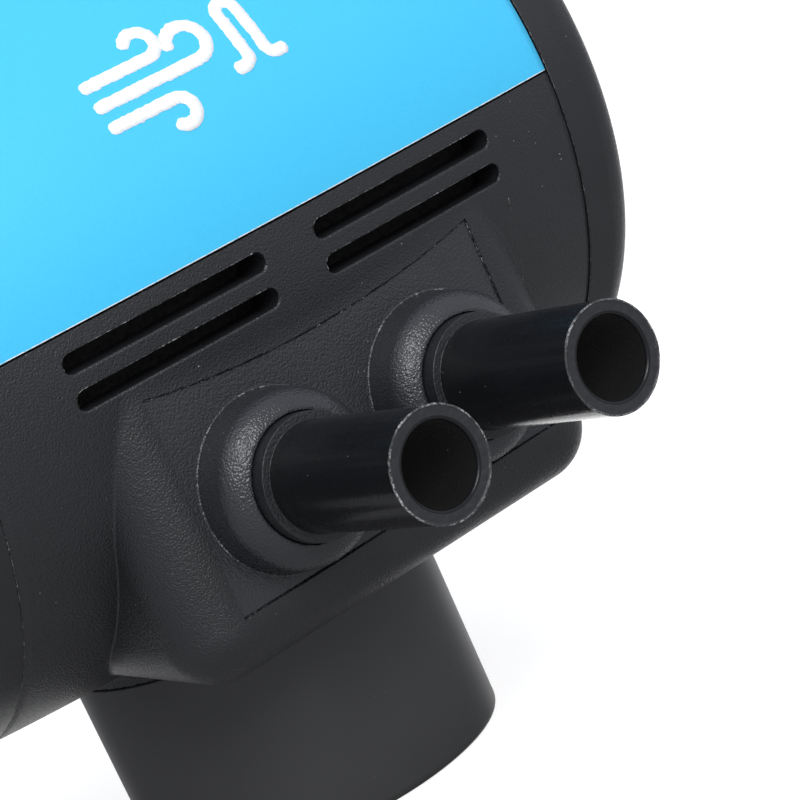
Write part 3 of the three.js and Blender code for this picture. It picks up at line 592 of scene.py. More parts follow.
def housing_field(x, y, z):
    across = np.abs(x)
    radial = np.hypot(y, z)
    worn = 0.14 * step_up((across - HALF_LENGTH + 0.75) / 0.7)  # the end edge is slightly rolled in
    barrel = round_common(radial - barrel_radius(x) + worn, across - HALF_LENGTH, 0.06)
    nose = housing_block(x, y, z)
    outer = round_union(barrel, nose, 0.16)
    outer = round_common(outer, z + 0.06, 0.05)
    plinth = common(np.hypot(x, y) - CUFF_R, slab(z, CUFF_TOP_Z + 0.03, -25))
    outer = round_union(outer, plinth, 0.4)
    outer = union(outer, common(round_common(np.hypot(x, y) - SPIGOT_R, SPIGOT_END_Z - z, 0.5), z + 29))
    boss = round_common(disc(x, z, (0, RATE_Z), BOSS_R), y - RATE_END_Y - 0.1, 0.5)
    outer = round_union(outer, common(boss, 14 - y), 1.2)

    bore = common(radial - BORE_R, across - 28.6)
    pockets = common(slab(across, 14.5, 20), slab(y, -26.5, 0), slab(z, -29.5, -17))
    shell = round_cut(outer, union(bore, pockets), 0.2)

    deck = block(x, y, z, (-19.5, 19.5), (-28.8, 28.8), (DECK_Z - 1.5, DECK_Z))
    main_block = block(x, y, z, (-13.5, 13.5), (-29, -4.5), (-30.5, DECK_Z - 0.5))
    pilot_block = block(x, y, z, (-9.2, 9.2), (6, 17), (-22.6, DECK_Z - 0.5))
    meter_block = block(x, y, z, (-4.2, 4.2), (5.6, 15), (-31, -20))
    channel = common(disc(y, z, (14, -20), 2.4), across - 30)
    shelf = block(x, y, z, (-24, 24), (-27.6, -24), (-10.6, -9.6), 0.1)
    posts = block(across, y, z, (16.5, 19.5), (-7, 7), (DECK_Z - 1, 7))
    brackets = block(x, np.abs(y), z, (-3.5, 3.5), (15.4, 18), (DECK_Z - 1, 7.5))
    pillars = common(at_screws(y, z, PILLAR_R, (-1,)), slab(across, 21, 29), z + 0.06)
    inside = union(deck, main_block, pilot_block, meter_block, channel, shelf, posts, brackets, pillars)
    inside = common(inside, union(radial - BORE_R - 0.4, common(nose, y + 20)))
    solid = union(shell, inside)

    plate_pocket = common(
        x - PLATE_HALF_X + POCKET_OVERLAP,
        -x - PLATE_HALF_X - 0.02,  # the photo shows a dark line down the left side
        PLATE_BOTTOM_Z + POCKET_OVERLAP - z,
        z - plate_top(x) + POCKET_OVERLAP,
        y - PLATE_BACK_Y - 0.1,
    )
    solid = round_cut(solid, plate_pocket, 0.02)
    for row in SLOT_ROWS:
        slot = np.hypot(np.maximum(slab(across, *SLOT_ENDS), 0), z - row) - SLOT_HALF
        lower = step_up((row + 0.3 - z) / 1.2)  # the lower edge is rounder than the upper one
        solid = round_cut(solid, common(slot, y + 25), 0.07 + 0.2 * lower)
    holes = union(
        common(at_screws(y, z, PILOT_HOLE_R, (-1,)), slab(across, 22, 40)),
        common(radial - 22, slab(across, 28, 40)),
        common(np.hypot(x, y) - SPIGOT_BORE_R, z - SEAT_Z),
        common(disc(x, y, (0, -8), 2.6), z - DECK_Z - 1),
        common(disc(x, y, (0, 9), 1.6), z - DECK_Z - 1),
        common(radial - 4.5, across - 22),
        common(disc(x, z, (0, 4), 1.3), np.abs(y) - 19),
        common(disc(x, z, (0, RATE_Z), 4.35), 21.9 - y),
        common(disc(x, z, (0, RATE_Z), 3.2), slab(y, 15.5, 22.5)),
        common(disc(x, z, (0, RATE_Z), 1.85), slab(y, 10, 16)),
        common(disc(across, z, (NOZZLE_X, NOZZLE_Z), 4.7), slab(y, -30, -26.4)),
        common(disc(across, z, (NOZZLE_X, NOZZLE_Z), 6.15), slab(y, -30, -27.3)),
        common(disc(across, z, (NOZZLE_X, NOZZLE_Z), NOZZLE_DUCT_R), slab(y, -27, -7)),
        common(disc(across, y, (6, -9), 2), slab(z, NOZZLE_Z, DECK_Z + 1)),
        common(disc(across, y, (6, 9), 1.2), slab(z, -20, DECK_Z + 1)),
        common(disc(across, z, (6, -20), 1.2), slab(y, 8, 14)),
        common(disc(y, z, (14, -20), 1.2), 5 - across),
    )
    return common(solid, -holes)


def housing_detail(x, y, z):
    """Where the lower housing needs a finer mesh: slots, plate pocket, block edges and end edges."""
    across = np.abs(x)
    slots = (z > SLOT_ROWS[1] - 1.6) & (z < 0.5) & (across > 1.6) & (across < 23.6)
    pocket = (np.abs(across - PLATE_HALF_X) < 0.5) | (np.abs(z - PLATE_BOTTOM_Z) < 0.5)
    pocket |= np.abs(z - plate_top(x)) < 0.6
    pocket &= (across < PLATE_HALF_X + 0.5) & (z > PLATE_BOTTOM_Z - 0.5) & (z < -6)
    ends = (across > HALF_LENGTH - 1) & (np.hypot(y, z) > END_R - 0.6)
    block_edge = np.abs(np.hypot(y, z) - barrel_radius(x)) < 0.45
    block_edge &= (np.abs(across - BLOCK_HALF_X) < 0.7) | (np.abs(y - BLOCK_FRONT_Y) < 0.6)
    front = y < -26.5
    return ends | (front & (slots | pocket)) | (block_edge & (y < -8))


def build_lower_housing():
    low = (-HALF_LENGTH - 1, -MID_R - 1, SPIGOT_END_Z - 1)
    high = (HALF_LENGTH + 1, MID_R + 1, 1)
    made = moulded("lower_housing_shell", housing_field, low, high, 0.26, housing_detail)
    place(made, BODY, "housing", "housing_plastic", "lower_housing")


# ---------------------------------------------------------------- outlet plate
def plate_field(x, y, z):
    across = np.abs(x)
    outline = common(across - PLATE_HALF_X, PLATE_BOTTOM_Z - z, z - plate_top(x))
    sheet = common(round_common(outline, PLATE_Y - y, 0.04), y - PLATE_BACK_Y)
    radial = np.hypot(across - NOZZLE_X, z - NOZZLE_Z)
    wall = radial - COLLAR_R + 0.075 * (PLATE_Y - y)
    out = PLATE_Y - 2.4 - y  # how far in front of the straight wall
    dome = np.hypot(np.maximum(out, 0) * 1.458, np.maximum(radial - 3.8, 0)) - 3.52  # an oval section
    collar = common(wall, np.where(out > 0, dome, wall), COLLAR_Y - y, y - PLATE_Y - 1)
    recess = common(radial - SHOULDER_R - 0.1, y - COLLAR_Y - 0.7)
    bore = round_union(radial - NOZZLE_R - 0.05, recess, 0.02)
    lip = round_common(collar, COLLAR_Y - y, 0.06)
    return common(round_union(sheet, lip, 0.12), -bore)


def build_outlet_plate():
    low = (-PLATE_HALF_X - 0.6, COLLAR_Y - 0.6, PLATE_BOTTOM_Z - 0.6)
    high = (PLATE_HALF_X + 0.6, PLATE_BACK_Y + 0.6, -6)
    made = moulded("outlet_plate_grained", plate_field, low, high, 0.13)
    place(made, PANEL, "housing", "housing_plastic", "outlet_plate")


# ---------------------------------------------------------------- nozzles
def build_nozzle(side):
    name = "left" if side < 0 else "right"
    rng = np.random.default_rng(4 if side < 0 else 9)
    waves = [(k, rng.uniform(0, 2 * np.pi), rng.uniform(0.3, 1) / k ** 0.55) for k in range(3, 60)]
    shoulder = PLATE_Y - 5.9

    def flash(angle, along, radius):
        """Ragged moulding flash round the rim, mostly on its upper side."""
        jag = sum(a * np.sin(k * angle + phase) for k, phase, a in waves)
        jag = jag / 2.2
        upper = 0.45 + 0.55 * np.cos(angle - math.radians(125))
        at_rim = np.exp(-(((along - NOZZLE_TIP_Y) / 0.16) ** 2))
        at_rim = at_rim * np.exp(-(((radius - NOZZLE_R) / 0.13) ** 2))
        height = np.clip(0.35 + 0.65 * jag, 0, 1.6) * np.clip(upper, 0.12, 1)
        return 0.05 * at_rim * jag, 0.11 * at_rim * height

    outline = rounded(
        [
            (NOZZLE_TIP_Y + 3, NOZZLE_BORE_R),
            (NOZZLE_TIP_Y + 0.06, NOZZLE_BORE_R, 0.3),
            (NOZZLE_TIP_Y + 0.06, NOZZLE_R - 0.22, 0.03),
            (NOZZLE_TIP_Y, NOZZLE_R - 0.12, 0.02),
            (NOZZLE_TIP_Y + 0.02, NOZZLE_R, 0.02),
            (NOZZLE_TIP_Y + 0.2, NOZZLE_R - 0.02, 0.02),
            (shoulder, NOZZLE_R - 0.01, 0.08),
            (shoulder, SHOULDER_R, 0.08),
            (COLLAR_Y + 0.66, SHOULDER_R, 0.05),
            (COLLAR_Y + 0.66, NOZZLE_R, 0.05),
            (NOZZLE_TAIL_Y, NOZZLE_R, 0.2),
            (NOZZLE_TAIL_Y, NOZZLE_BORE_R, 0.2),
            (NOZZLE_TIP_Y + 6, NOZZLE_BORE_R),
        ],
        0.1,
    )
    centre = (side * NOZZLE_X, NOZZLE_Z)
    made = turned(name + "_nozzle_tube", Y, outline, centre, 240, flash)
    place(made, GLOSS, "housing", "nozzle_plastic", name + "_nozzle")
    # The rim faces take the painted-glint material: pale patches for light caught on the rim's flash.
    for look in (NOZZLE_INSIDE, GLINT_EDGE, SHOULDER, NOZZLE_END):
        made.data.materials.append(look)
    for face in made.data.polygons:
        x, y, z = face.center / MM - Vector((0, 0, AXIS_Z))
        r = math.hypot(x - centre[0], z - centre[1])
        inside = r < NOZZLE_BORE_R + 0.02 and y > NOZZLE_TIP_Y + 0.32
        at_end = y < NOZZLE_TIP_Y + 0.24 and r > NOZZLE_BORE_R + 0.28
        at_rim = at_end and r > NOZZLE_R - 0.14
        on_ring = y > shoulder - 0.1 and r > NOZZLE_R + 0.02
        face.material_index = 1 if inside else 2 if at_rim else 3 if on_ring else 4 if at_end else 0


# ---------------------------------------------------------------- vacuum cuff
def build_cuff():
    top = CUFF_TOP_Z
    outline = rounded(
        [
            (top - 3, 13.36),
            (top, 13.36, 0.3),
            (top, CUFF_R, 0.18),
            (CUFF_RIM_Z, CUFF_R - 0.15, 0.85),
            (CUFF_RIM_Z, 13.3, 0.3),
            (CUFF_RIM_Z + 0.8, 12.4, 0.4),
            (SPIGOT_END_Z - 0.1, 12.4, 0.3),
            (SPIGOT_END_Z - 0.1, 13.36, 0.1),
            (top - 6, 13.36),
        ],
        0.2,
        8,
    )
    made = turned("vacuum_cuff_rubber", Z, outline, (0, 0), 192)
    place(made, CUFF, "housing", "cuff_rubber", "vacuum_cuff")


# ---------------------------------------------------------------- end caps
def cap_field(x, y, z):
    radial = np.hypot(y, z)
    dome = CAP_TOP_X - 0.7 * (radial / CAP_R) ** 2
    side = radial - (END_R + (CAP_R - END_R) * np.clip((x - SEAM_X) / 3, 0, 1))
    outer = round_common(side, x - dome, 4.2)
    outer = round_common(outer, SEAM_X - x, 0.05)
    chamber = union(
        common(radial - 29.7, x - SEAM_X - 1.65),
        common(radial - 20.8, x - 36),
        common(slab(y, 9, 15.2), slab(z, -21.2, -12), x - SEAM_X - 3.2),
    )
    solid = common(outer, -chamber, -at_screws(y, z, SCREW_CLEARANCE_R))
    return round_cut(solid, common(at_screws(y, z, SCREW_SINK_R), 35.6 - x), 0.25)


def build_end_caps():
    for side, name in ((-1, "left"), (1, "right")):
        low = (min(side * 30, side * 40), -33, -33)
        high = (max(side * 30, side * 40), 33, 33)
        made = moulded(
            name + "_end_cap_shell",
            lambda x, y, z, s=side: cap_field(s * x, y, z),
            low,
            high,
            0.3,
            lambda x, y, z: (np.abs(x) < SEAM_X + 0.8) & (np.hypot(y, z) > END_R - 0.6),
            1,
        )
        place(made, CAP, "housing", "housing_plastic", name + "_end_cap")


# ---------------------------------------------------------------- label and print
def on_barrel(x, angle, height):
    """A point at an angle above the front horizon, height outside the barrel's surface."""
    r = barrel_radius(x) + height
    return np.stack([x, -r * np.cos(angle), r * np.sin(angle)], -1)


def build_label():
    columns, rows = 90, 260
    half = HALF_LENGTH - 0.25
    bottom, rim = 0.1 / MID_R, 0.085 / MID_R
    angles = np.linspace(bottom + rim, np.pi - bottom - rim, rows - 2)
    angles = np.concatenate([[bottom], angles, [np.pi - bottom]])
    x, a = np.meshgrid(np.linspace(-half, half, columns), angles, indexing="ij")
    outer = on_barrel(x, a, 0.05)
    inner = on_barrel(x, a, -0.25)
    points = np.concatenate([outer.reshape(-1, 3), inner.reshape(-1, 3)])
    index = np.arange(columns * rows).reshape(columns, rows)
    back = index + columns * rows
    faces = []
    for i in range(columns - 1):
        for j in range(rows - 1):
            faces.append((index[i, j], index[i + 1, j], index[i + 1, j + 1], index[i, j + 1]))
            faces.append((back[i, j], back[i, j + 1], back[i + 1, j + 1], back[i + 1, j]))
    ring = list(index[:, 0]) + list(index[-1, 1:]) + list(index[-2::-1, -1]) + list(index[0, -2:0:-1])
    for p, q in zip(ring, ring[1:] + ring[:1]):
        faces.append((p, p + columns * rows, q + columns * rows, q))
    made = mesh_object("cover_label_film", points, faces)
    outward(made)
    place(made, LABEL, "housing", "label_film", "cover_label")
    made.data.materials.append(LABEL_EDGE)
    for face in made.data.polygons:
        y, z = face.center.y / MM, face.center.z / MM - AXIS_Z
        face.material_index = int(math.atan2(z, abs(y)) < bottom + rim)


def ragged(count, size, rng, reach=3):
    """A smooth random line of count values, about size high."""
    rough = rng.normal(0, 1, count + 2 * reach)
    return size * np.convolve(rough, np.ones(reach) / reach ** 0.5, "same")[reach:-reach]


def resampled(points, spacing):
    """A polyline's points, evenly spaced."""
    points = np.array(points, float)
    run = np.concatenate([[0], np.cumsum(np.linalg.norm(np.diff(points, axis=0), axis=1))])
    at = np.linspace(0, run[-1], max(int(run[-1] / spacing), 2) + 1)
    return np.stack([np.interp(at, run, points[:, i]) for i in range(points.shape[1])], -1)


def bend(cx, cy, r, a0, a1, steps=14):
    a = np.radians(np.linspace(a0, a1, steps))
    return [(cx + r * math.cos(t), cy + r * math.sin(t)) for t in a]


def strip_faces(count):
    """Faces of a bar closed at both ends, its points in fours: low-left, low-right, high-right, high-left."""
    faces = []
    for i in range(count - 1):
        for k in range(4):
            m = (k + 1) % 4
            faces.append([4 * i + k, 4 * i + m, 4 * i + 4 + m, 4 * i + 4 + k])
    last = 4 * (count - 1)
    return faces + [[3, 2, 1, 0], [last, last + 1, last + 2, last + 3]]


def build_pictogram():
    """Three gusts of air and a pulse, in ragged white ink: outlines in x and distance round the barrel."""
    rng = np.random.default_rng(21)
    strokes = [
        [(-9.2, 16.2), (-2.6, 16.2), *bend(-2.4, 17.5, 1.3, -80, 170)],
        [(-9.2, 14.2), (1.0, 14.2), *bend(1.2, 15.9, 1.7, -80, 180)],
        [(-9.2, 12.2), (-3.0, 12.2), *bend(-2.8, 11.0, 1.2, 80, -150)],
        [(3.4, 12.0), *bend(4.4, 12.8, 0.8, -90, 0), *bend(6.1, 16.9, 0.9, 180, 0),
         *bend(7.8, 12.8, 0.8, 180, 270), (8.8, 12.0)],
    ]
    points, faces = [], []
    for stroke in strokes:
        line = resampled(stroke, 0.12)
        count = len(line)
        along = np.gradient(line, axis=0)
        along /= np.linalg.norm(along, axis=1)[:, None]
        side = np.stack([-along[:, 1], along[:, 0]], -1)
        ends = np.minimum(np.arange(count), np.arange(count)[::-1]) * 0.12
        width = 0.56 * np.sqrt(np.clip((ends + 0.1) / 0.4, 0.2, 1))
        left = line + side * (width + ragged(count, 0.022, rng))[:, None]
        right = line - side * (width + ragged(count, 0.03, rng, 2))[:, None]
        first = len(points)
        low = [on_barrel(q[:, 0], q[:, 1] / MID_R, 0.04) for q in (left, right)]
        high = [on_barrel(q[:, 0], q[:, 1] / MID_R, 0.1) for q in (right, left)]
        points.extend(np.stack([low[0], low[1], high[0], high[1]], 1).reshape(-1, 3))
        faces.extend([[first + i for i in f] for f in strip_faces(count)])
    made = mesh_object("label_airflow_mark", np.array(points), faces)
    made.data.shade_flat()
    outward(made)
    dress(made, PRINT)
    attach(made, "housing")


def burr(path, size, rng, gaps=0.3):
    """Points and faces of a thin bead of moulding flash along a path, its height random and often nothing."""
    line = resampled(path, 0.1)
    count = len(line)
    patches = np.arange(0, count + 8, 8)
    patchy = np.interp(np.arange(count), patches, rng.uniform(-gaps, 1, len(patches)))
    radius = size * (0.12 + np.clip(patchy, 0, 1) * np.clip(0.6 + ragged(count, 0.5, rng, 2), 0, 1.6))
    along = np.gradient(line, axis=0)
    along /= np.linalg.norm(along, axis=1)[:, None]
    across = np.cross(along, (0.31, 0.17, 0.93))
    across /= np.linalg.norm(across, axis=1)[:, None]
    up = np.cross(across, along)
    corners = [across, up, -across, -up]
    points = np.stack([line + c * radius[:, None] for c in corners], 1).reshape(-1, 3)
    return points, strip_faces(count)


def build_flash():
    """Fine moulding flash beads, coloured pale as painted glints where the edges catch the light, all on the
    housing.
    """
    rng = np.random.default_rng(33)
    paths = []  # points, size, and how often the bead is missing
    # Beads along the slots' upper edges: painted highlight where those edges catch the light.
    for row in SLOT_ROWS:
        for side in (-1, 1):
            start, end = sorted((side * SLOT_ENDS[0], side * SLOT_ENDS[1]))
            outline = np.array(bend(start, row, SLOT_HALF + 0.06, 200, 90) + [(end, row + SLOT_HALF + 0.06)])
            outline = resampled(outline, 0.4)
            r = barrel_radius(outline[:, 0])
            y = -np.sqrt(r ** 2 - outline[:, 1] ** 2) - 0.02
            paths.append((np.stack([outline[:, 0], y, outline[:, 1]], -1), 0.05, 0.0))
    x = np.linspace(-PLATE_HALF_X, PLATE_HALF_X, 60)
    paths.append((np.stack([x, np.full(60, PLATE_Y - 0.05), plate_top(x)], -1), 0.12, -0.3))
    paths.append((np.stack([x, np.full(60, PLATE_Y - 0.05), np.full(60, PLATE_BOTTOM_Z)], -1), 0.045, 0.5))
    z = np.linspace(PLATE_BOTTOM_Z, float(plate_top(PLATE_HALF_X)), 50)
    paths.append((np.stack([np.full(50, PLATE_HALF_X), np.full(50, PLATE_Y - 0.04), z], -1), 0.1, -0.2))
    for side in (-1, 1):
        # The beads at each collar's base run round its upper left only, where the fillet catches the key
        # light: painted highlight.
        base = np.array(bend(side * NOZZLE_X, NOZZLE_Z, COLLAR_R + 0.02, 60, 250, 60))
        paths.append((np.stack([base[:, 0], np.full(60, PLATE_Y - 0.03), base[:, 1]], -1), 0.065, -0.1))
        # The beads down the block's side walls are painted highlight on the crease between barrel and wall.
        z = np.linspace(-8, -29, 40)
        wall = side * BLOCK_HALF_X
        y = -np.sqrt(barrel_radius(wall) ** 2 - z ** 2)
        paths.append((np.stack([np.full(40, wall), y, z], -1), 0.03, 0.4))
        angle = np.radians(np.linspace(2, 358, 240))
        ring = np.stack([np.full(240, side * SEAM_X), END_R * np.cos(angle), END_R * np.sin(angle)], -1)
        paths.append((ring, 0.05, 0.5))
    points, faces = [], []
    for path, size, gaps in paths:
        more, more_faces = burr(path, size, rng, gaps)
        faces.extend([[len(points) + i for i in f] for f in more_faces])
        points.extend(more)
    made = mesh_object("moulding_flash", np.array(points), faces)
    outward(made)
    dress(made, GLINT_EDGE)
    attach(made, "housing")


# ---------------------------------------------------------------- screws and soft moving pieces
def build_cap_screws():
    for side, name in ((-1, "left"), (1, "right")):
        for number in range(1, 5):
            node = "%s_cap_screw_%d" % (name, number)
            centre_y, centre_z = middle(node, Y), middle(node, Z) - AXIS_Z
            ends = edge(node, X, LOW), edge(node, X, HIGH)
            tip, top = min(map(abs, ends)), max(map(abs, ends))
            head_r = edge(node, Y, HIGH) - centre_y

            def field(x, y, z):
                along, radial = side * x, np.hypot(y - centre_y, z - centre_z)
                shank = common(round_common(radial - 1.15, tip - along, 0.5), along - top + 1)
                head = common(round_common(radial - head_r, along - top, 0.6), top - 1.8 - along)
                slot = common(np.abs(z - centre_z) - 0.35, top - 0.75 - along)
                return round_cut(union(shank, head), slot, 0.08)

            low = (ends[0] - 0.5, centre_y - head_r - 0.5, centre_z - head_r - 0.5)
            high = (ends[1] + 0.5, centre_y + head_r + 0.5, centre_z + head_r + 0.5)
            made = moulded("%s_end_screw_%d" % (name, number), field, low, high, 0.15)
            place(made, STEEL, "housing", "steel", node)


def build_ring_seal(node, body, cord_r):
    """A rubber ring of round section, about an axis parallel to Y, filling its CAD node's box."""
    ring_r = (edge(node, X, HIGH) - edge(node, X, LOW)) / 2 - cord_r
    turn = np.linspace(0, 2 * np.pi, 20, endpoint=False)
    outline = np.stack([middle(node, Y) + cord_r * np.cos(turn), ring_r + cord_r * np.sin(turn)], -1)
    made = turned(node + "_ring", Y, outline, (middle(node, X), middle(node, Z) - AXIS_Z), 96)
    place(made, SOFT, body, "cuff_rubber", node)


def filter_field(x, y, z):
    swell = 1 + np.sin(0.9 * x + 1.3 * z) * np.sin(1.7 * x - 0.8 * z + 1)  # the foam's face is uneven
    face = edge("air_filter", Y, HIGH) - 0.12 * swell
    low, high = edge("air_filter", Z, LOW) - AXIS_Z, edge("air_filter", Z, HIGH) - AXIS_Z
    sheet = round_common(np.hypot(y, z) - BORE_R + 0.25, y - face, 0.5)
    sheet = round_common(sheet, slab(z, low, high), 0.4)
    return round_common(sheet, np.abs(x) - edge("air_filter", X, HIGH), 0.6)


def build_air_filter():
    half = edge("air_filter", X, HIGH)
    low = (-half - 0.5, -BORE_R - 0.5, edge("air_filter", Z, LOW) - AXIS_Z - 0.5)
    made = moulded("air_filter_foam", filter_field, low, (half + 0.5, -24.4, 0), 0.22)
    place(made, FOAM, "housing", "filter_foam", "air_filter")


def bridge(piece, look, node, start, end):
    """Dresses a soft piece, hides its CAD node and bakes its transform. The piece's start sits with the
    housing and its end with a moving body; both are turned into row-frame points that nothing uses.
    """
    dress(piece, look)
    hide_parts(node)
    tuple(to_row(start))
    tuple(to_row(end))
    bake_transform(piece)


def build_diaphragms():
    """Top-hat rubber diaphragms: rim clamped in the housing, web on the shuttle, rolling wall between."""
    for side, name in ((-1, "left"), (1, "right")):
        node = name + "_diaphragm"
        ends = abs(edge(node, X, LOW)), abs(edge(node, X, HIGH))
        web, rim, rim_r = min(ends), max(ends), edge(node, Y, HIGH)
        outline = rounded(
            [
                (rim, rim_r, 0.3),
                (rim - 1.5, rim_r, 0.3),
                (rim - 1.5, 21.6, 0.9),
                (web + 0.9, 19.6, 0.9),
                (web, 18.6, 0.5),
                (web, 1.95),
                (web + 1.2, 1.95),
                (web + 1.2, 17.9, 0.3),
                (web + 1.9, 18.7, 0.6),
                (rim, 20.4, 0.6),
            ],
            0.2,
        )
        outline = [(side * along, radius) for along, radius in outline]
        made = turned(name + "_rolling_diaphragm", X, outline, (0, 0), 144)
        start, end = (side * (rim - 1.6), 0, 0), (side * (web + 1.9), 0, 0)
        bridge(made, SOFT, node, start, end)


def build_metering_spring():
    node = "metering_spring"
    fixed, moving = edge(node, Y, LOW), edge(node, Y, HIGH)
    wire, turns, sides = 0.3, 3.5, 12
    angle = np.linspace(0, 2 * np.pi * turns, 140)
    radius = edge(node, X, HIGH) - wire
    closed = 4.5  # of each end, in radians, wound flat
    turns_at = (0, closed, angle[-1] - closed, angle[-1])
    rise = np.interp(angle, turns_at, (fixed + wire, fixed + 0.6, moving - 0.6, moving - wire))
    line = np.stack([radius * np.cos(angle), rise, RATE_Z + radius * np.sin(angle)], -1)
    out = np.stack([np.cos(angle), 0 * angle, np.sin(angle)], -1)
    points = []
    for k in range(sides):
        turn = 2 * np.pi * k / sides
        points.append(line + wire * (math.cos(turn) * out + math.sin(turn) * np.array([0, 1, 0])))
    points = np.stack(points, 1).reshape(-1, 3)
    faces = []
    for i in range(len(angle) - 1):
        for k in range(sides):
            m = (k + 1) % sides
            faces.append((i * sides + k, i * sides + m, (i + 1) * sides + m, (i + 1) * sides + k))
    last = (len(angle) - 1) * sides
    faces += [tuple(range(sides))[::-1], tuple(range(last, last + sides))]
    made = mesh_object("metering_coil_spring", points, faces)
    outward(made)
    bridge(made, STEEL, node, (0, fixed + 0.4, RATE_Z), (0, moving - 0.4, RATE_Z))


build_lower_housing()
build_outlet_plate()
for side in (-1, 1):
    build_nozzle(side)
build_cuff()
build_end_caps()
build_cap_screws()
build_air_filter()
build_ring_seal("left_nozzle_seal", "housing", 0.62)
build_ring_seal("right_nozzle_seal", "housing", 0.62)
build_ring_seal("rate_screw_seal", "rate_control", 0.29)
build_diaphragms()
build_metering_spring()
build_label()
build_pictogram()
build_flash()

for row in frame["record"]["subparts"]:
    node = frame["nodes"][row["node"]]
    if not node.hide_render:
        dress(node, SLOT_LOOKS[row["material_slot"]])


# ---------------------------------------------------------------- stage, light and camera
TENT_TOWARD = (0.28, -0.86, 0.42)  # the tent's bright side
TENT_DIM = 0.08
TENT_BRIGHT = 0.84
TENT_SEEN = 1.12  # as the camera sees it
TENT_COLOR = (0.94, 0.965, 1.05)
BACKDROP_WAY = (0.52, 0.83, -0.19)  # the way the camera looks
BACKDROP_GLOW = 1.5  # what the object reflects from the sweep behind it
FLOOR_GREY = 0.44
FLOOR_SEEN = 0.8  # extra light towards the camera, for a white sweep


def build_stage():
    floor_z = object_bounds()[0].z
    mesh = bpy.data.meshes.new("floor")
    size = 6.0
    corners = [(-size, -size, floor_z), (size, -size, floor_z), (size, size, floor_z), (-size, size, floor_z)]
    mesh.from_pydata(corners, [], [(0, 1, 2, 3)])
    floor = bpy.data.objects.new("floor", mesh)
    bpy.context.scene.collection.objects.link(floor)
    n = Nodes("pale_floor")
    seen = n.add("LightPath")  # the camera sees the floor as bright as a lit white sweep
    back = n.add("NewGeometry", _out=4)
    behind = n.add("VectorMath", _out=1, _set={"operation": "DOT_PRODUCT"}, i0=back, i1=BACKDROP_WAY)
    glow = n.ramp(behind, -0.93, -0.78, BACKDROP_GLOW, 0.0)
    n.set(Base_Color=grey(FLOOR_GREY), Roughness=0.85, Emission_Color=grey(1.0))
    n.set(Emission_Strength=n.add("Mix", i0=seen, i2=glow, i3=FLOOR_SEEN))
    dress(floor, n.material)


def area_light(name, azimuth, elevation, distance, size, power, target=(0, 0, 0.03)):
    """A square soft light. Azimuth 0 is in front (-Y) and 90 is on +X."""
    a, e = math.radians(azimuth), math.radians(elevation)
    offset = Vector((math.sin(a) * math.cos(e), -math.cos(a) * math.cos(e), math.sin(e))) * distance
    light = bpy.data.lights.new(name, "AREA")
    light.size = size
    light.energy = power
    made = bpy.data.objects.new(name, light)
    bpy.context.scene.collection.objects.link(made)
    made.location = Vector(target) + offset
    made.rotation_mode = "QUATERNION"
    made.rotation_quaternion = (-offset).to_track_quat("-Z", "Y")


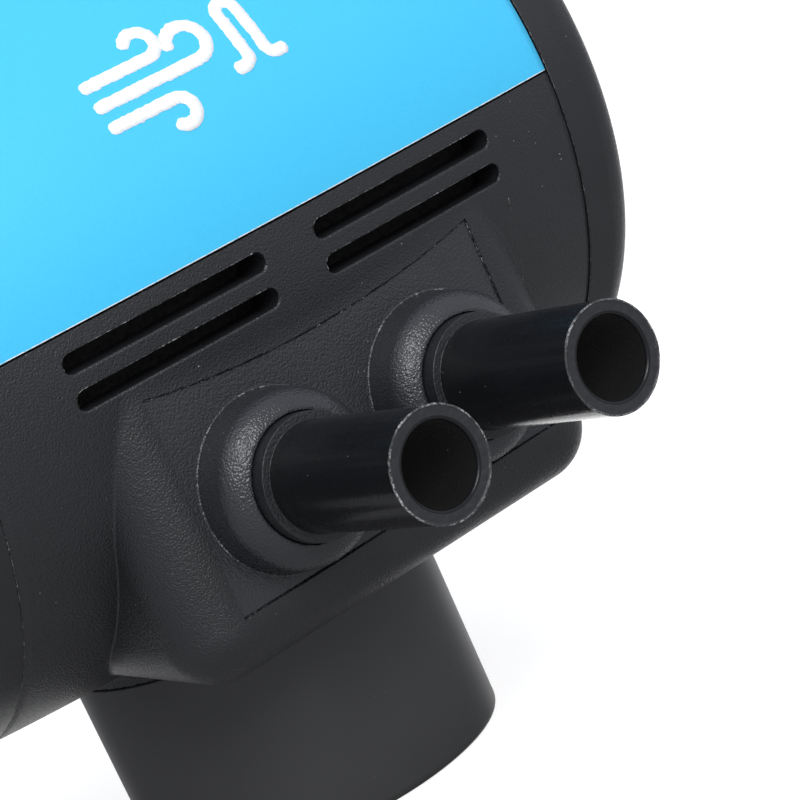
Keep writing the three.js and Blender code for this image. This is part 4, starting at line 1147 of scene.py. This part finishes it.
def build_world():
    """A light tent, bright in front and dim behind, with a bright backdrop, and plain white to the camera."""
    world = bpy.data.worlds.new("studio")
    bpy.context.scene.world = world
    world.use_nodes = True
    tree = world.node_tree
    shade = tree.nodes["Background"]
    shade.inputs["Color"].default_value = (*TENT_COLOR, 1)
    way = tree.nodes.new("ShaderNodeTexCoord").outputs["Generated"]
    toward = tree.nodes.new("ShaderNodeVectorMath")
    toward.operation = "DOT_PRODUCT"
    toward.inputs[1].default_value = TENT_TOWARD
    tree.links.new(way, toward.inputs[0])
    level = tree.nodes.new("ShaderNodeMapRange")
    tree.links.new(toward.outputs["Value"], level.inputs[0])
    for slot, value in zip(range(1, 5), (-0.5, 0.35, TENT_DIM, TENT_BRIGHT)):
        level.inputs[slot].default_value = value
    seen = tree.nodes.new("ShaderNodeLightPath").outputs["Is Camera Ray"]
    mixed = tree.nodes.new("ShaderNodeMix")
    tree.links.new(seen, mixed.inputs[0])
    backdrop = tree.nodes.new("ShaderNodeVectorMath")
    backdrop.operation = "DOT_PRODUCT"
    backdrop.inputs[1].default_value = BACKDROP_WAY
    tree.links.new(way, backdrop.inputs[0])
    lit = tree.nodes.new("ShaderNodeMapRange")
    tree.links.new(backdrop.outputs["Value"], lit.inputs[0])
    for slot, value in zip(range(1, 5), (0.78, 0.93, 0.0, BACKDROP_GLOW)):
        lit.inputs[slot].default_value = value
    brighter = tree.nodes.new("ShaderNodeMath")
    brighter.operation = "MAXIMUM"
    tree.links.new(level.outputs[0], brighter.inputs[0])
    tree.links.new(lit.outputs[0], brighter.inputs[1])
    tree.links.new(brighter.outputs[0], mixed.inputs[2])
    mixed.inputs[3].default_value = TENT_SEEN
    tree.links.new(mixed.outputs[0], shade.inputs["Strength"])


def build_lights():
    build_world()
    area_light("key", -18, 33, 0.6, 0.28, 2.25)
    area_light("side", -75, 55, 0.6, 0.24, 0.34)


CAMERA_AZIMUTH = -31.84
CAMERA_ELEVATION = 10.86
CAMERA_ROLL = 24.32
CAMERA_DISTANCE = 236.8
CAMERA_LENS = 133.25
CAMERA_AIM = (2.05, -35.0, -17.25)  # from the barrel's axis


def build_camera():
    a, e = math.radians(CAMERA_AZIMUTH), math.radians(CAMERA_ELEVATION)
    back = Vector((math.sin(a) * math.cos(e), -math.cos(a) * math.cos(e), math.sin(e)))
    camera = bpy.data.objects.new("camera", bpy.data.cameras.new("camera"))
    bpy.context.scene.collection.objects.link(camera)
    camera.data.lens = CAMERA_LENS
    camera.data.clip_start = 0.01
    level = (-back).to_track_quat("-Z", "Y").to_matrix().to_4x4()
    aim = Vector(to_row(CAMERA_AIM))
    camera.matrix_world = (Matrix.Translation(aim + back * CAMERA_DISTANCE * MM) @ level
                           @ Matrix.Rotation(math.radians(-CAMERA_ROLL), 4, "Z"))
    bpy.context.scene.camera = camera
    bpy.context.scene.view_settings.view_transform = "Standard"


build_stage()
build_lights()
build_camera()
